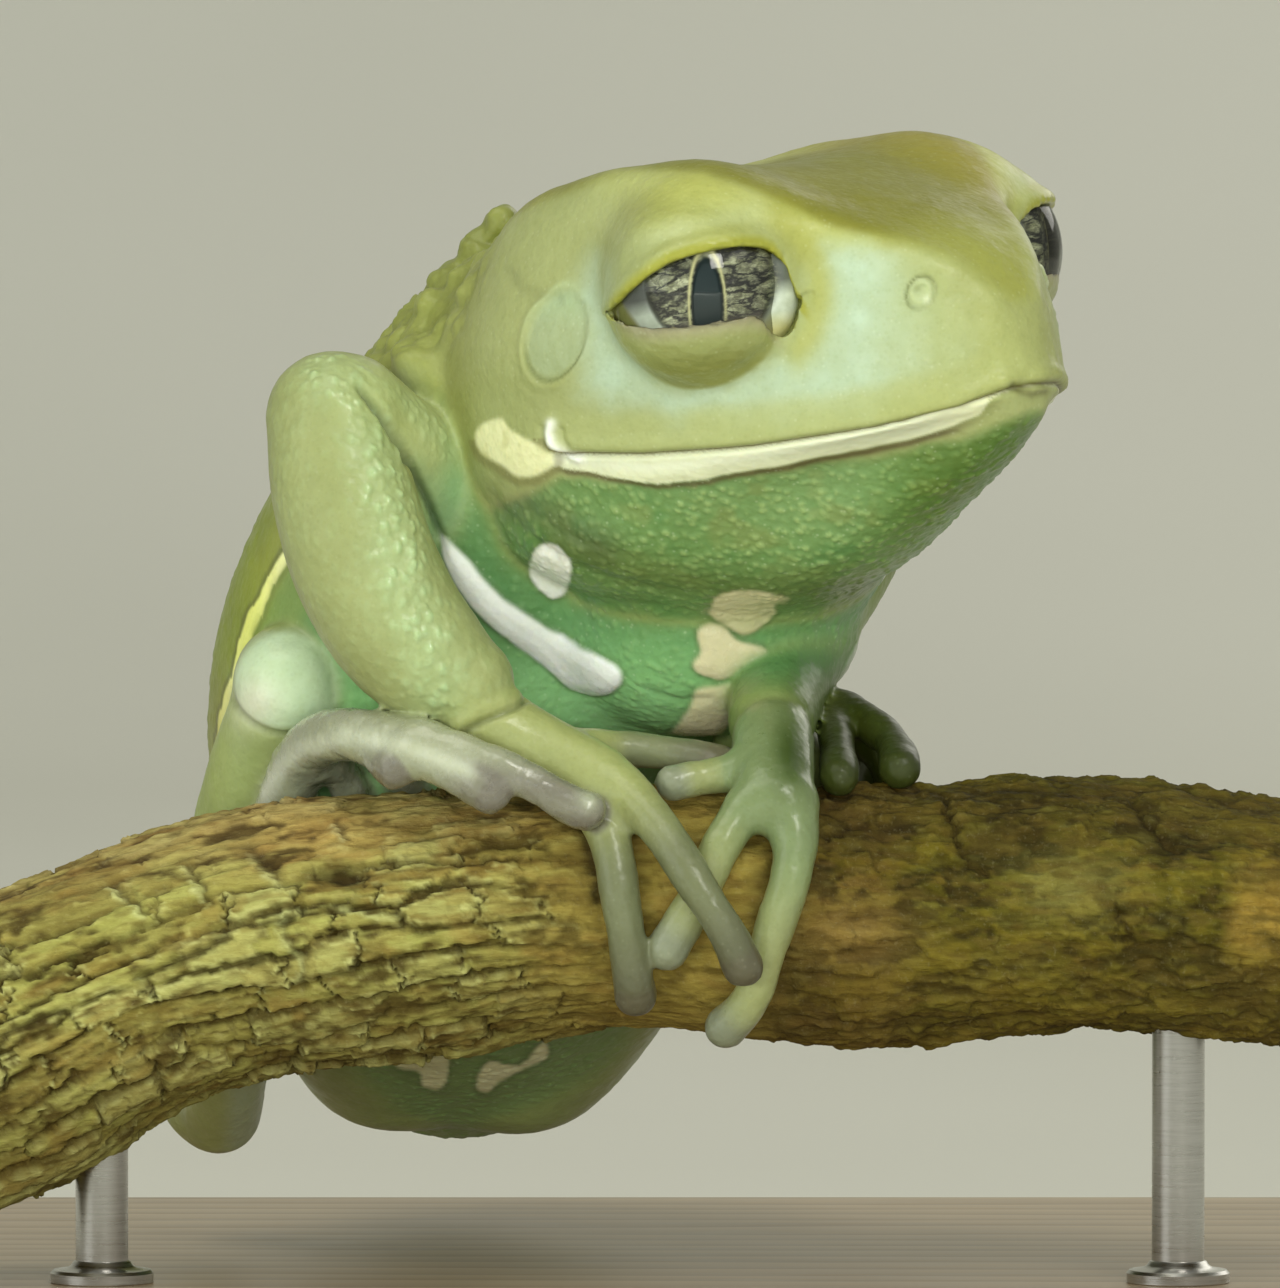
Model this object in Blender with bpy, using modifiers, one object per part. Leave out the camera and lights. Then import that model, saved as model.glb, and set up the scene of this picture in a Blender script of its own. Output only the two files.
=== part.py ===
"""Waxy monkey tree frog, life size, still, gripping a short cut length of branch
that a flat display stand carries on two rods.

Metres, +Z up.  The origin is the middle of the stand base's underside.
Working lengths are millimetres in the perch frame: x to the right along the
perch, y behind it, z above its axis; place() turns them into world metres.
"""
import bpy
import bmesh
import math
import numpy as np
from mathutils import Vector, Matrix

MM = 0.001

# ------------------------------------------------------------------ sizes (mm)
PERCH_FORWARD = 14.0        # perch axis in front of the base's middle
PERCH_HEIGHT = 21.5         # perch axis above the base's underside
GAP = 0.3                   # clearance between neighbouring pieces

BASE_WIDTH = 78.0
BASE_DEPTH = 70.0
BASE_THICK = 4.5
BASE_CORNER = 7.0
ROD_X = 24.5                # each rod's distance from the middle
ROD_RADIUS = 1.2

# head: yaw from straight ahead (-y) towards +x, nose up, left side up
HEAD_YAW = 45.0
HEAD_PITCH = 6.9
HEAD_ROLL = 5.4
JAW_ORIGIN = (3.8, 2.6, 22.1)   # middle between the two mouth corners

EYE_CENTRE = (8.6, 8.9, 6.0)    # ahead of, beside and above the jaw origin
EYE_RADIUS = 4.1
EYE_AXIS_SIDE = 46.0            # degrees from straight forward
LID_THICK = 0.42
OPENING_HALF = (3.75, 1.9)      # half length and half height between the lids

# triangle budgets
BUDGET = dict(head=1900, trunk=900, upper_arm=130, forearm=170,
              hand=520, thigh=220, shank=190, tarsus=130, foot=600)
FINAL = dict(eye=210, head=1550, lower_jaw=640, neck=330, trunk=1250, upper_arm=170,
             forearm=200, hand=520, thigh=230, shank=210, tarsus=150, foot=620)

MATERIALS = {
    # slot: colour, roughness, metallic
    "skin_green": ((0.42, 0.50, 0.20), 0.42, 0.0),
    "skin_throat": ((0.16, 0.28, 0.10), 0.50, 0.0),
    "eye": ((0.50, 0.52, 0.46), 0.06, 0.0),
    "bark": ((0.30, 0.22, 0.10), 0.85, 0.0),
    "stand_wood": ((0.50, 0.38, 0.25), 0.45, 0.0),
    "stand_steel": ((0.62, 0.61, 0.59), 0.28, 1.0),
}


# ------------------------------------------------------------------ scene setup
for old in list(bpy.data.objects):
    bpy.data.objects.remove(old, do_unlink=True)

model = bpy.data.collections.new("waxy_monkey_tree_frog")
bpy.context.scene.collection.children.link(model)

slots = {}
for slot, (rgb, rough, metal) in MATERIALS.items():
    mat = bpy.data.materials.new(slot)
    mat.use_nodes = True
    bsdf = mat.node_tree.nodes["Principled BSDF"]
    bsdf.inputs["Base Color"].default_value = (*rgb, 1.0)
    bsdf.inputs["Roughness"].default_value = rough
    bsdf.inputs["Metallic"].default_value = metal
    mat.diffuse_color = (*rgb, 1.0)
    slots[slot] = mat


def place(p):
    """Perch frame (mm) to world (m)."""
    return Vector((p[0] * MM, (p[1] - PERCH_FORWARD) * MM, (p[2] + PERCH_HEIGHT) * MM))


# ------------------------------------------------------------------ head frame
def head_axes():
    ya, pi, ro = (math.radians(a) for a in (HEAD_YAW, HEAD_PITCH, HEAD_ROLL))
    fwd = Vector((math.sin(ya) * math.cos(pi), -math.cos(ya) * math.cos(pi), math.sin(pi)))
    left = Vector((math.cos(ya), math.sin(ya), 0.0))
    up = fwd.cross(left) * 1.0
    if up.z < 0:
        up = -up
    left_r = left * math.cos(ro) + up * math.sin(ro)
    up_r = up * math.cos(ro) - left * math.sin(ro)
    return fwd, left_r, up_r


FWD, LEFT, UP = head_axes()


def head_point(x, y, z):
    """Head frame (forward, left, up from the jaw origin) to the perch frame."""
    p = Vector(JAW_ORIGIN) + FWD * x + LEFT * y + UP * z
    return (p.x, p.y, p.z)


# ------------------------------------------------------------------ mesh helpers
def catmull(values, t):
    """Smooth value of a row of stations at t in 0..len-1."""
    n = len(values)
    i = min(int(t), n - 2)
    f = t - i
    p0 = values[max(i - 1, 0)]
    p1, p2 = values[i], values[i + 1]
    p3 = values[min(i + 2, n - 1)]
    return 0.5 * ((2 * p1) + (p2 - p0) * f + (2 * p0 - 5 * p1 + 4 * p2 - p3) * f * f
                  + (3 * p1 - p0 - 3 * p2 + p3) * f ** 3)


def ring_loft(rings):
    """Closed mesh from rings of world points, both ends filled."""
    bm = bmesh.new()
    rows = [[bm.verts.new(p) for p in ring] for ring in rings]
    n = len(rows[0])
    for a, b in zip(rows[:-1], rows[1:]):
        for k in range(n):
            bm.faces.new((a[k], a[(k + 1) % n], b[(k + 1) % n], b[k]))
    bm.faces.new(rows[0][::-1])
    bm.faces.new(rows[-1])
    bmesh.ops.recalc_face_normals(bm, faces=bm.faces)
    me = bpy.data.meshes.new("loft")
    bm.to_mesh(me)
    bm.free()
    return me


def ellipsoid(centre, radii, axes=None, segments=24, rings=16):
    """Sphere primitive stretched to three half sizes; centre and axes in the perch frame."""
    bm = bmesh.new()
    bmesh.ops.create_uvsphere(bm, u_segments=segments, v_segments=rings, radius=1.0)
    rot = Matrix.Identity(3) if axes is None else Matrix(axes).transposed()
    size = Matrix.Diagonal(Vector([r * MM for r in radii]))
    bmesh.ops.transform(bm, matrix=(rot @ size).to_4x4(), verts=bm.verts)
    bmesh.ops.translate(bm, vec=place(centre), verts=bm.verts)
    bmesh.ops.recalc_face_normals(bm, faces=bm.faces)
    me = bpy.data.meshes.new("ellipsoid")
    bm.to_mesh(me)
    bm.free()
    return me


def tube(path, sides=4):
    """Curve through (x, y, z, radius) points with a round bevel, its ends rounded off."""
    cu = bpy.data.curves.new("tube", "CURVE")
    cu.dimensions = "3D"
    cu.bevel_depth = MM
    cu.bevel_resolution = sides
    cu.resolution_u = 8
    cu.use_fill_caps = True
    sp = cu.splines.new("BEZIER")
    sp.bezier_points.add(len(path) - 1)
    for bp, q in zip(sp.bezier_points, path):
        bp.co = place(q)
        bp.radius = q[3]
        bp.handle_left_type = bp.handle_right_type = "AUTO"
    sp.radius_interpolation = "CARDINAL"
    ob = bpy.data.objects.new("tube", cu)
    bpy.context.scene.collection.objects.link(ob)
    bpy.context.view_layer.update()
    dg = bpy.context.evaluated_depsgraph_get()
    me = bpy.data.meshes.new_from_object(ob.evaluated_get(dg))
    bm = bmesh.new()
    bm.from_mesh(me)
    bmesh.ops.remove_doubles(bm, verts=bm.verts, dist=1e-7)
    bmesh.ops.recalc_face_normals(bm, faces=bm.faces)
    bm.to_mesh(me)
    bm.free()
    bpy.data.objects.remove(ob, do_unlink=True)
    ends = [ellipsoid(q, (q[3] * 0.995,) * 3, segments=16, rings=10) for q in (path[0], path[-1])]
    return [me] + ends


def as_object(name, mesh):
    ob = bpy.data.objects.new(name, mesh)
    model.objects.link(ob)
    return ob


def joined(meshes):
    bm = bmesh.new()
    for me in meshes:
        bm.from_mesh(me)
    out = bpy.data.meshes.new("joined")
    bm.to_mesh(out)
    bm.free()
    return out


def baked(ob):
    """Replace an object's mesh by its evaluated shape and drop the modifiers."""
    bpy.context.view_layer.update()
    dg = bpy.context.evaluated_depsgraph_get()
    me = bpy.data.meshes.new_from_object(ob.evaluated_get(dg))
    ob.modifiers.clear()
    ob.data = me
    return ob


def triangles(me):
    return sum(len(p.vertices) - 2 for p in me.polygons)


def blob(name, meshes, voxel, smooth, budget):
    """One closed soft form out of overlapping meshes: fused, smoothed, thinned out."""
    ob = as_object(name, joined(meshes))
    m = ob.modifiers.new("fuse", "REMESH")
    m.mode = "VOXEL"
    m.voxel_size = voxel * MM
    m.use_smooth_shade = True
    m = ob.modifiers.new("soften", "SMOOTH")
    m.factor = 0.5
    m.iterations = smooth
    baked(ob)
    if budget:
        m = ob.modifiers.new("thin", "DECIMATE")
        m.ratio = min(1.0, budget / triangles(ob.data))
        m.use_collapse_triangulate = True
        baked(ob)
    return ob


def is_closed(bm):
    return len(bm.faces) > 0 and all(len(e.link_faces) == 2 for e in bm.edges)


def tidy(ob):
    """Keep the largest body, closed and facing out, without needless slivers."""
    for merge in (5e-6, 2e-6, 5e-7, 0.0):
        bm = bmesh.new()
        bm.from_mesh(ob.data)
        if merge:
            bmesh.ops.remove_doubles(bm, verts=bm.verts, dist=merge)
            bmesh.ops.dissolve_degenerate(bm, edges=bm.edges, dist=merge)
        bmesh.ops.triangulate(bm, faces=bm.faces)
        islands = islands_of(bm)
        islands.sort(key=lambda f: -abs(volume_of(f)))
        for extra in islands[1:]:
            bmesh.ops.delete(bm, geom=extra, context="FACES")
        loose = [v for v in bm.verts if not v.link_faces]
        bmesh.ops.delete(bm, geom=loose, context="VERTS")
        if is_closed(bm) or not merge:
            break
        bm.free()
    bmesh.ops.recalc_face_normals(bm, faces=bm.faces)
    bm.to_mesh(ob.data)
    bm.free()
    return ob


def islands_of(bm):
    bm.faces.ensure_lookup_table()
    seen, out = set(), []
    for f in bm.faces:
        if f.index in seen:
            continue
        stack, group = [f], []
        seen.add(f.index)
        while stack:
            g = stack.pop()
            group.append(g)
            for e in g.edges:
                for h in e.link_faces:
                    if h.index not in seen:
                        seen.add(h.index)
                        stack.append(h)
        out.append(group)
    return out


def volume_of(faces):
    v = 0.0
    for f in faces:
        c = [l.vert.co for l in f.loops]
        for k in range(1, len(c) - 1):
            v += c[0].dot(c[k].cross(c[k + 1])) / 6.0
    return v


def swollen(ob, by):
    """Copy of an object's mesh pushed out along its normals by some millimetres."""
    me = ob.data.copy()
    bm = bmesh.new()
    bm.from_mesh(me)
    bm.normal_update()
    moves = []
    for v in bm.verts:
        n = v.normal.copy()
        least = min((n.dot(f.normal) for f in v.link_faces), default=1.0)
        moves.append(n * (by * MM / max(least, 0.55)))
    for v, m in zip(bm.verts, moves):
        v.co += m
    bm.to_mesh(me)
    bm.free()
    return me


def sound(me, before):
    """A cut's result is closed and keeps most of the piece it was cut from."""
    bm = bmesh.new()
    bm.from_mesh(me)
    closed = is_closed(bm)
    volume = abs(volume_of(bm.faces))
    bm.free()
    return closed and 0.35 * before < volume < 1.0005 * before


def cut(ob, meshes, split=False):
    """Boolean difference by each mesh in turn."""
    for me in meshes:
        start = ob.data
        bm = bmesh.new()
        bm.from_mesh(start)
        before = abs(volume_of(bm.faces))
        bm.free()
        cutter = bpy.data.objects.new("cutter", me)
        bpy.context.scene.collection.objects.link(cutter)
        for solver in ("EXACT", "MANIFOLD"):
            ob.data = start
            m = ob.modifiers.new("cut", "BOOLEAN")
            m.operation = "DIFFERENCE"
            m.solver = solver
            m.object = cutter
            baked(ob)
            if sound(ob.data, before):
                break
        bpy.data.objects.remove(cutter, do_unlink=True)
        if not split:
            tidy(ob)
    return ob


def part_from(ob, *neighbours, gap=GAP):
    """Cut an object clear of its finished neighbours."""
    return cut(ob, [swollen(n, gap) for n in neighbours])


def finish(ob, slot):
    ob.data.materials.clear()
    ob.data.materials.append(slots[slot])
    ob.data.shade_smooth()
    ob.data.set_sharp_from_angle(angle=math.radians(60))


# ------------------------------------------------------------------ head
# Stations from the nape to the snout's tip.  Each names the crown's height, the
# brow ridge (half width, height), the cheek, the lip, the jaw and the throat.
HEAD_STATIONS = [
    # x,    crown, ridge y,z,    cheek y,z,   lip y,z,      jaw y,z,     throat
    (-8.5,  7.0,   5.6, 6.6,     8.0, 4.0,    8.0, -0.6,    6.2, -3.4,   -4.8),
    (-6.5,  9.6,   6.8, 9.2,     9.8, 4.6,   10.0, -0.5,    8.0, -4.6,   -6.6),
    (-3.5, 10.9,   7.4, 11.0,   11.0, 4.8,   11.0, -0.3,    9.2, -5.2,   -8.0),
    (0.0,  11.1,   7.9, 11.6,   11.5, 4.8,   11.2, -0.3,    9.1, -5.3,   -8.6),
    (4.0,  11.2,   8.1, 11.7,   11.1, 4.8,   10.7, -0.9,    8.0, -4.9,   -8.6),
    (8.0,  11.0,   7.8, 11.3,   10.0, 4.5,    9.6, -1.2,    6.5, -4.0,   -7.7),
    (12.0,  9.6,   6.4, 9.2,     7.8, 4.0,    7.7, -1.3,    5.1, -2.8,   -5.8),
    (15.5,  7.8,   4.6, 7.2,     5.5, 3.4,    5.5, -1.2,    3.7, -2.0,   -4.1),
    (18.0,  6.0,   2.8, 5.4,     3.7, 2.7,    3.6, -0.8,    2.3, -1.5,   -2.6),
    (19.1,  4.4,   1.7, 4.0,     2.2, 2.2,    2.2, -0.6,    1.5, -1.2,   -1.8),
]


def head_section(row, count):
    """Closed section through the station's named points, as (y, z) pairs."""
    x, crown, ry, rz, cy, cz, ly, lz, jy, jz, throat = row
    half = [(0.0, crown), (ry * 0.52, crown * 0.55 + rz * 0.45 + 0.08), (ry, rz),
            (ry * 0.35 + cy * 0.65, rz * 0.45 + cz * 0.55), (cy, cz),
            (max(cy, ly) * 1.005, (cz + lz) * 0.5), (ly, lz),
            (ly * 0.6 + jy * 0.4, lz * 0.55 + jz * 0.45), (jy, jz),
            (jy * 0.55, throat * 0.80 + jz * 0.20), (0.0, throat)]
    loop = half + [(-y, z) for y, z in half[-2:0:-1]]
    pts = np.array(loop)
    n = len(pts)
    out = []
    for k in range(count):
        t = k * n / count
        i = int(t)
        f = t - i
        p0, p1, p2, p3 = (pts[(i + d) % n] for d in (-1, 0, 1, 2))
        out.append(0.5 * (2 * p1 + (p2 - p0) * f + (2 * p0 - 5 * p1 + 4 * p2 - p3) * f * f
                          + (3 * p1 - p0 - 3 * p2 + p3) * f ** 3))
    return out


def head_mesh(per_station=5, count=60):
    rows = [np.array(r) for r in HEAD_STATIONS]
    rings = []
    steps = (len(rows) - 1) * per_station
    for s in range(steps + 1):
        row = catmull(rows, s / per_station)
        rings.append([place(head_point(row[0], y, z)) for y, z in head_section(row, count)])
    # nose: the last section shrinks onto a rounded tip
    tip = rows[-1]
    mid = np.array([0.0, 1.2])
    for f, ahead in ((0.72, 0.35), (0.38, 0.6)):
        rings.append([place(head_point(tip[0] + ahead, y * f, mid[1] + (z - mid[1]) * f))
                      for y, z in head_section(tip, count)])
    return ring_loft(rings)


def mouth_height(x):
    """Height of the closed mouth line above the jaw origin, from corner to tip."""
    xs = (-12.0, -4.0, 0.0, 5.0, 10.0, 15.0, 18.0, 19.6, 26.0)
    zs = (-2.2, -1.0, -0.2, -0.9, -1.3, -1.3, -1.0, -0.4, -0.2)
    return float(np.interp(x, xs, zs))


def mouth_sheet():
    """Thin curved sheet along the mouth line, wider than the head."""
    xs = np.linspace(-14.0, 24.0, 39)
    half, t = 16.0, GAP * 0.5
    rings = []
    for x in xs:
        z = mouth_height(x)
        rings.append([place(head_point(x, y, z + dz)) for y, dz in
                      ((-half, -t), (half, -t), (half, t), (-half, t))])
    return ring_loft(rings)


def eye_frame(side):
    """Centre and axes (out, along, up) of the eye on one side: +1 left, -1 right."""
    a = math.radians(EYE_AXIS_SIDE)
    out = (FWD * math.cos(a) + LEFT * (side * math.sin(a))).normalized()
    up = (UP - out * UP.dot(out)).normalized()
    along = up.cross(out)
    x, y, z = EYE_CENTRE
    return head_point(x, side * y, z), out, along, up


nodes = {}

for side, tag in ((1, "left"), (-1, "right")):
    centre, out, along, up = eye_frame(side)
    # the pole looks out of the socket, so the rings run round the pupil
    me = ellipsoid(centre, (EYE_RADIUS,) * 3, axes=(tuple(along), tuple(up), tuple(out)),
                   segments=16, rings=8)
    nodes["eye_" + tag] = tidy(as_object("eye_" + tag, me))

pieces = [head_mesh()]
for side in (1, -1):
    centre, out, along, up = eye_frame(side)
    shell = EYE_RADIUS + GAP + LID_THICK
    pieces.append(ellipsoid(centre, (shell,) * 3, segments=32, rings=20))
head = blob("head", pieces, 0.45, 4, BUDGET["head"])
for side, tag in ((1, "left"), (-1, "right")):
    centre, out, along, up = eye_frame(side)
    mouth_of_lids = Vector(centre) + out * (EYE_RADIUS + 1.0) + up * 0.15 - along * (side * 0.3)
    cut(head, [swollen(nodes["eye_" + tag], GAP),
               ellipsoid(tuple(mouth_of_lids), (OPENING_HALF[0], OPENING_HALF[1], 3.6),
                         axes=(tuple(along), tuple(up), tuple(out)), segments=20, rings=12)],
        split=True)
cut(head, [mouth_sheet()], split=True)
bm = bmesh.new()
bm.from_mesh(head.data)
bmesh.ops.remove_doubles(bm, verts=bm.verts, dist=2e-6)
groups = sorted(islands_of(bm), key=lambda f: -abs(volume_of(f)))[:2]
groups.sort(key=lambda g: -sum(f.calc_center_median().z for f in g) / len(g))
keep_low = {v.index for f in groups[1] for v in f.verts}
keep_high = {v.index for f in groups[0] for v in f.verts}
bm.verts.index_update()


def subset(mesh_bm, keep):
    part = mesh_bm.copy()
    part.verts.ensure_lookup_table()
    bmesh.ops.delete(part, geom=[v for v in part.verts if v.index not in keep], context="VERTS")
    me = bpy.data.meshes.new("subset")
    part.to_mesh(me)
    part.free()
    return me


high, low = subset(bm, keep_high), subset(bm, keep_low)
bm.free()
head.data = high
nodes["head"] = tidy(head)
nodes["lower_jaw"] = tidy(as_object("lower_jaw", low))

# ------------------------------------------------------------------ perch
# Middle height and radius along the branch; it droops and thickens to the left.
PERCH_STATIONS = [
    # x,    z,    radius
    (-36.0, -8.6, 6.7),
    (-29.0, -6.0, 6.7),
    (-23.0, -3.6, 6.2),
    (-18.0, -2.0, 6.1),
    (-14.0, -1.1, 6.2),
    (-9.0, -0.4, 6.1),
    (-3.0, 0.1, 5.7),
    (5.0, 0.0, 5.8),
    (13.0, -0.1, 5.8),
    (21.0, -0.1, 5.8),
    (29.0, -0.4, 5.7),
    (35.0, -0.6, 5.7),
]


def perch_at(x):
    xs = [s[0] for s in PERCH_STATIONS]
    return (float(np.interp(x, xs, [s[1] for s in PERCH_STATIONS])),
            float(np.interp(x, xs, [s[2] for s in PERCH_STATIONS])))


def perch_relief(x, a):
    """Bark's slow swellings and long ridges, in millimetres over the radius."""
    return (0.20 * math.sin(0.31 * x + 1.7 * math.sin(a)) + 0.16 * math.sin(3 * a + 0.17 * x)
            + 0.12 * math.sin(5 * a - 0.29 * x + 1.1) - 0.12)


def perch_mesh():
    rows = [np.array(s) for s in PERCH_STATIONS]
    rings, per, count = [], 2, 18
    steps = (len(rows) - 1) * per
    for s in range(steps + 1):
        t = s / per
        x, z, r = catmull(rows, t)
        ahead = catmull(rows, min(t + 0.05, len(rows) - 1.0001))
        behind = catmull(rows, max(t - 0.05, 0.0))
        tan = Vector((ahead[0] - behind[0], 0.0, ahead[1] - behind[1])).normalized()
        if s in (0, steps):
            tan = Vector((1.0, 0.0, 0.0))
        side = Vector((0.0, 1.0, 0.0))
        up = tan.cross(side) * -1.0
        if up.z < 0:
            up = -up
        ring = []
        for k in range(count):
            a = 2 * math.pi * k / count
            rad = r + perch_relief(x, a)
            p = Vector((x, 0.0, z)) + side * (rad * math.cos(a)) + up * (rad * math.sin(a))
            ring.append(place(p))
        rings.append(ring)
    return ring_loft(rings)


perch = tidy(as_object("perch", perch_mesh()))
nodes["perch"] = perch

# ------------------------------------------------------------------ limbs
ARM = {
    "right": dict(
        upper_arm=[(-6.9, 7.8, 17.2, 4.0), (-9.4, 4.1, 18.8, 3.4), (-11.7, 0.6, 20.9, 2.95),
                   (-13.3, -1.3, 22.5, 2.8)],
        forearm=[(-13.9, -1.4, 22.4, 3.05), (-13.4, -2.4, 18.9, 3.25), (-12.0, -2.9, 14.8, 3.3),
                 (-10.1, -3.0, 12.0, 3.05), (-7.9, -3.2, 10.4, 2.25)],
        palm=[(-7.4, -3.3, 9.0, 1.9), (-5.0, -3.6, 7.6, 1.75), (-2.7, -4.2, 6.5, 1.65)],
        digits=[
            # outer of the two fingers that hang down in front
            [(-2.6, -4.4, 6.3, 1.35), (-1.4, -6.2, 3.6, 1.0), (-0.8, -7.1, 0.5, 0.9),
             (-0.4, -6.9, -2.2, 0.88), (-0.2, -6.3, -3.5, 1.0)],
            # inner one, crossing over the other hand's finger
            [(-1.6, -4.6, 6.2, 1.35), (0.4, -6.8, 4.6, 1.0), (2.6, -8.9, 1.5, 0.88),
             (4.0, -9.2, -0.7, 0.86), (4.6, -9.0, -2.0, 0.98)],
            # inner finger laid along the top of the perch
            [(-2.8, -2.5, 7.3, 1.1), (-0.8, -1.7, 7.4, 0.85), (1.6, -1.8, 7.15, 0.8),
             (3.5, -2.2, 6.75, 0.92)],
            # opposed finger over the top and down the back
            [(-4.2, -2.4, 7.5, 1.2), (-3.6, 1.8, 7.4, 0.9), (-3.2, 4.9, 5.6, 0.85),
             (-3.0, 6.6, 2.9, 0.95)],
        ]),
    "left": dict(
        upper_arm=[(2.4, 14.5, 14.6, 3.9), (6.6, 14.2, 16.4, 3.2), (10.0, 13.0, 17.6, 2.7)],
        forearm=[(10.1, 12.6, 17.4, 2.6), (9.1, 10.2, 15.2, 2.5), (7.4, 6.9, 12.5, 2.35),
                 (6.3, 2.8, 10.0, 2.25), (6.0, -0.6, 8.6, 2.0)],
        palm=[(6.0, -2.2, 7.8, 1.85), (6.1, -3.9, 6.4, 1.8), (6.2, -5.2, 5.2, 1.6)],
        digits=[
            # inner hanging finger
            [(5.6, -5.0, 5.6, 1.3), (4.1, -6.1, 4.0, 0.95), (2.5, -6.9, 0.8, 0.88),
             (1.2, -6.8, -1.4, 1.0)],
            # outer hanging finger
            [(6.8, -5.3, 5.0, 1.3), (6.9, -6.5, 2.6, 1.0), (5.9, -7.0, -0.8, 0.88),
             (4.9, -6.2, -3.8, 0.86), (3.9, -5.3, -5.0, 1.0)],
            # first finger along the top of the perch, under the other hand's
            [(5.0, -3.6, 6.5, 1.05), (3.2, -3.8, 6.25, 0.8), (1.5, -4.2, 5.95, 0.86)],
            # opposed finger over the top and down the back
            [(6.3, -2.6, 7.2, 1.2), (6.6, 2.0, 7.3, 0.9), (6.6, 5.0, 5.2, 0.85),
             (6.5, 6.7, 2.4, 0.95)],
        ]),
}

LEG = {
    "right": dict(
        thigh=[(-12.0, 31.0, -7.4, 4.9), (-13.9, 24.5, -3.6, 5.0), (-15.2, 17.0, 2.2, 4.4),
               (-15.7, 10.3, 7.9, 3.2), (-15.9, 6.6, 10.1, 2.8)],
        shank=[(-16.0, 6.2, 9.6, 2.6), (-17.5, 9.8, 5.2, 2.7), (-18.9, 14.6, -0.8, 2.7),
               (-20.0, 19.6, -6.9, 2.35), (-20.3, 22.4, -10.2, 2.35)],
        tarsus=[(-19.9, 21.3, -10.8, 2.0), (-19.1, 16.0, -8.2, 1.7), (-18.0, 10.8, -3.2, 1.6),
                (-16.9, 7.9, 1.6, 1.5)],
        sole=[(-16.8, 7.5, 2.2, 1.5), (-16.2, 5.3, 4.8, 1.35), (-15.4, 2.6, 6.9, 1.25),
              (-14.1, -0.4, 7.9, 1.25), (-12.2, -3.2, 8.0, 1.25), (-9.9, -5.2, 7.7, 1.2)],
        digits=[
            # longest toe, lying over the hand
            [(-9.8, -5.4, 7.8, 1.1), (-7.6, -6.6, 7.3, 0.88), (-5.2, -7.1, 6.3, 0.85),
             (-3.4, -7.4, 5.3, 0.85), (-2.4, -7.5, 4.9, 0.98)],
            # the next, short of it
            [(-10.3, -5.2, 7.4, 1.05), (-8.7, -6.4, 6.7, 0.88), (-7.4, -7.0, 6.0, 0.88),
             (-6.8, -7.2, 5.6, 0.95)],
            # short toe that only shows its tip
            [(-12.0, -3.2, 7.6, 1.0), (-11.5, -4.6, 7.0, 0.85), (-11.1, -5.3, 6.5, 0.85)],
            # two opposed toes down the back of the perch
            [(-14.9, 2.0, 7.3, 1.1), (-13.4, 5.2, 5.4, 0.85), (-12.7, 6.9, 2.6, 0.82),
             (-12.4, 7.2, 0.2, 0.95)],
            [(-13.0, 0.2, 8.0, 1.1), (-11.2, 4.4, 6.4, 0.85), (-10.0, 6.8, 3.4, 0.82),
             (-9.7, 7.3, 0.8, 0.95)],
        ]),
    "left": dict(
        thigh=[(-5.6, 31.6, -7.6, 4.9), (-2.3, 26.8, -4.0, 4.4), (3.4, 18.8, 1.0, 3.7),
               (5.8, 11.8, 4.9, 3.0), (5.9, 8.8, 6.7, 2.6)],
        shank=[(6.1, 8.8, 6.2, 2.5), (7.8, 13.5, 3.2, 2.8), (9.6, 19.0, 0.2, 2.8),
               (10.4, 24.8, -2.6, 2.3), (10.6, 28.4, -4.2, 2.2)],
        tarsus=[(10.9, 28.0, -5.2, 2.0), (12.3, 22.0, -5.0, 1.65), (12.4, 15.6, -3.0, 1.55),
                (11.4, 10.8, 1.6, 1.45)],
        sole=[(11.3, 10.2, 2.4, 1.45), (10.6, 8.7, 5.6, 1.25), (9.8, 7.2, 7.8, 1.15),
              (9.1, 5.4, 8.7, 1.1)],
        digits=[
            [(9.2, 5.6, 8.7, 1.05), (10.6, 3.0, 8.3, 0.85), (11.6, 0.6, 7.3, 0.85),
             (11.8, -1.4, 6.5, 0.98)],
            [(8.9, 5.2, 8.5, 1.0), (8.9, 2.2, 7.9, 0.82), (9.0, -0.8, 6.9, 0.85),
             (9.0, -2.6, 6.2, 0.95)],
            [(9.5, 6.2, 8.2, 1.0), (11.2, 5.2, 6.5, 0.82), (11.9, 5.8, 4.0, 0.85),
             (12.2, 6.8, 1.8, 0.95)],
            [(9.4, 6.6, 7.8, 1.0), (9.3, 7.6, 4.6, 0.82), (9.1, 7.3, 1.6, 0.85),
             (9.0, 7.0, -0.8, 0.95)],
            [(10.6, 8.4, 5.9, 1.0), (12.8, 8.3, 3.0, 0.82), (13.3, 7.3, 0.4, 0.85),
             (13.4, 6.9, -1.6, 0.95)],
        ]),
}

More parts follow.
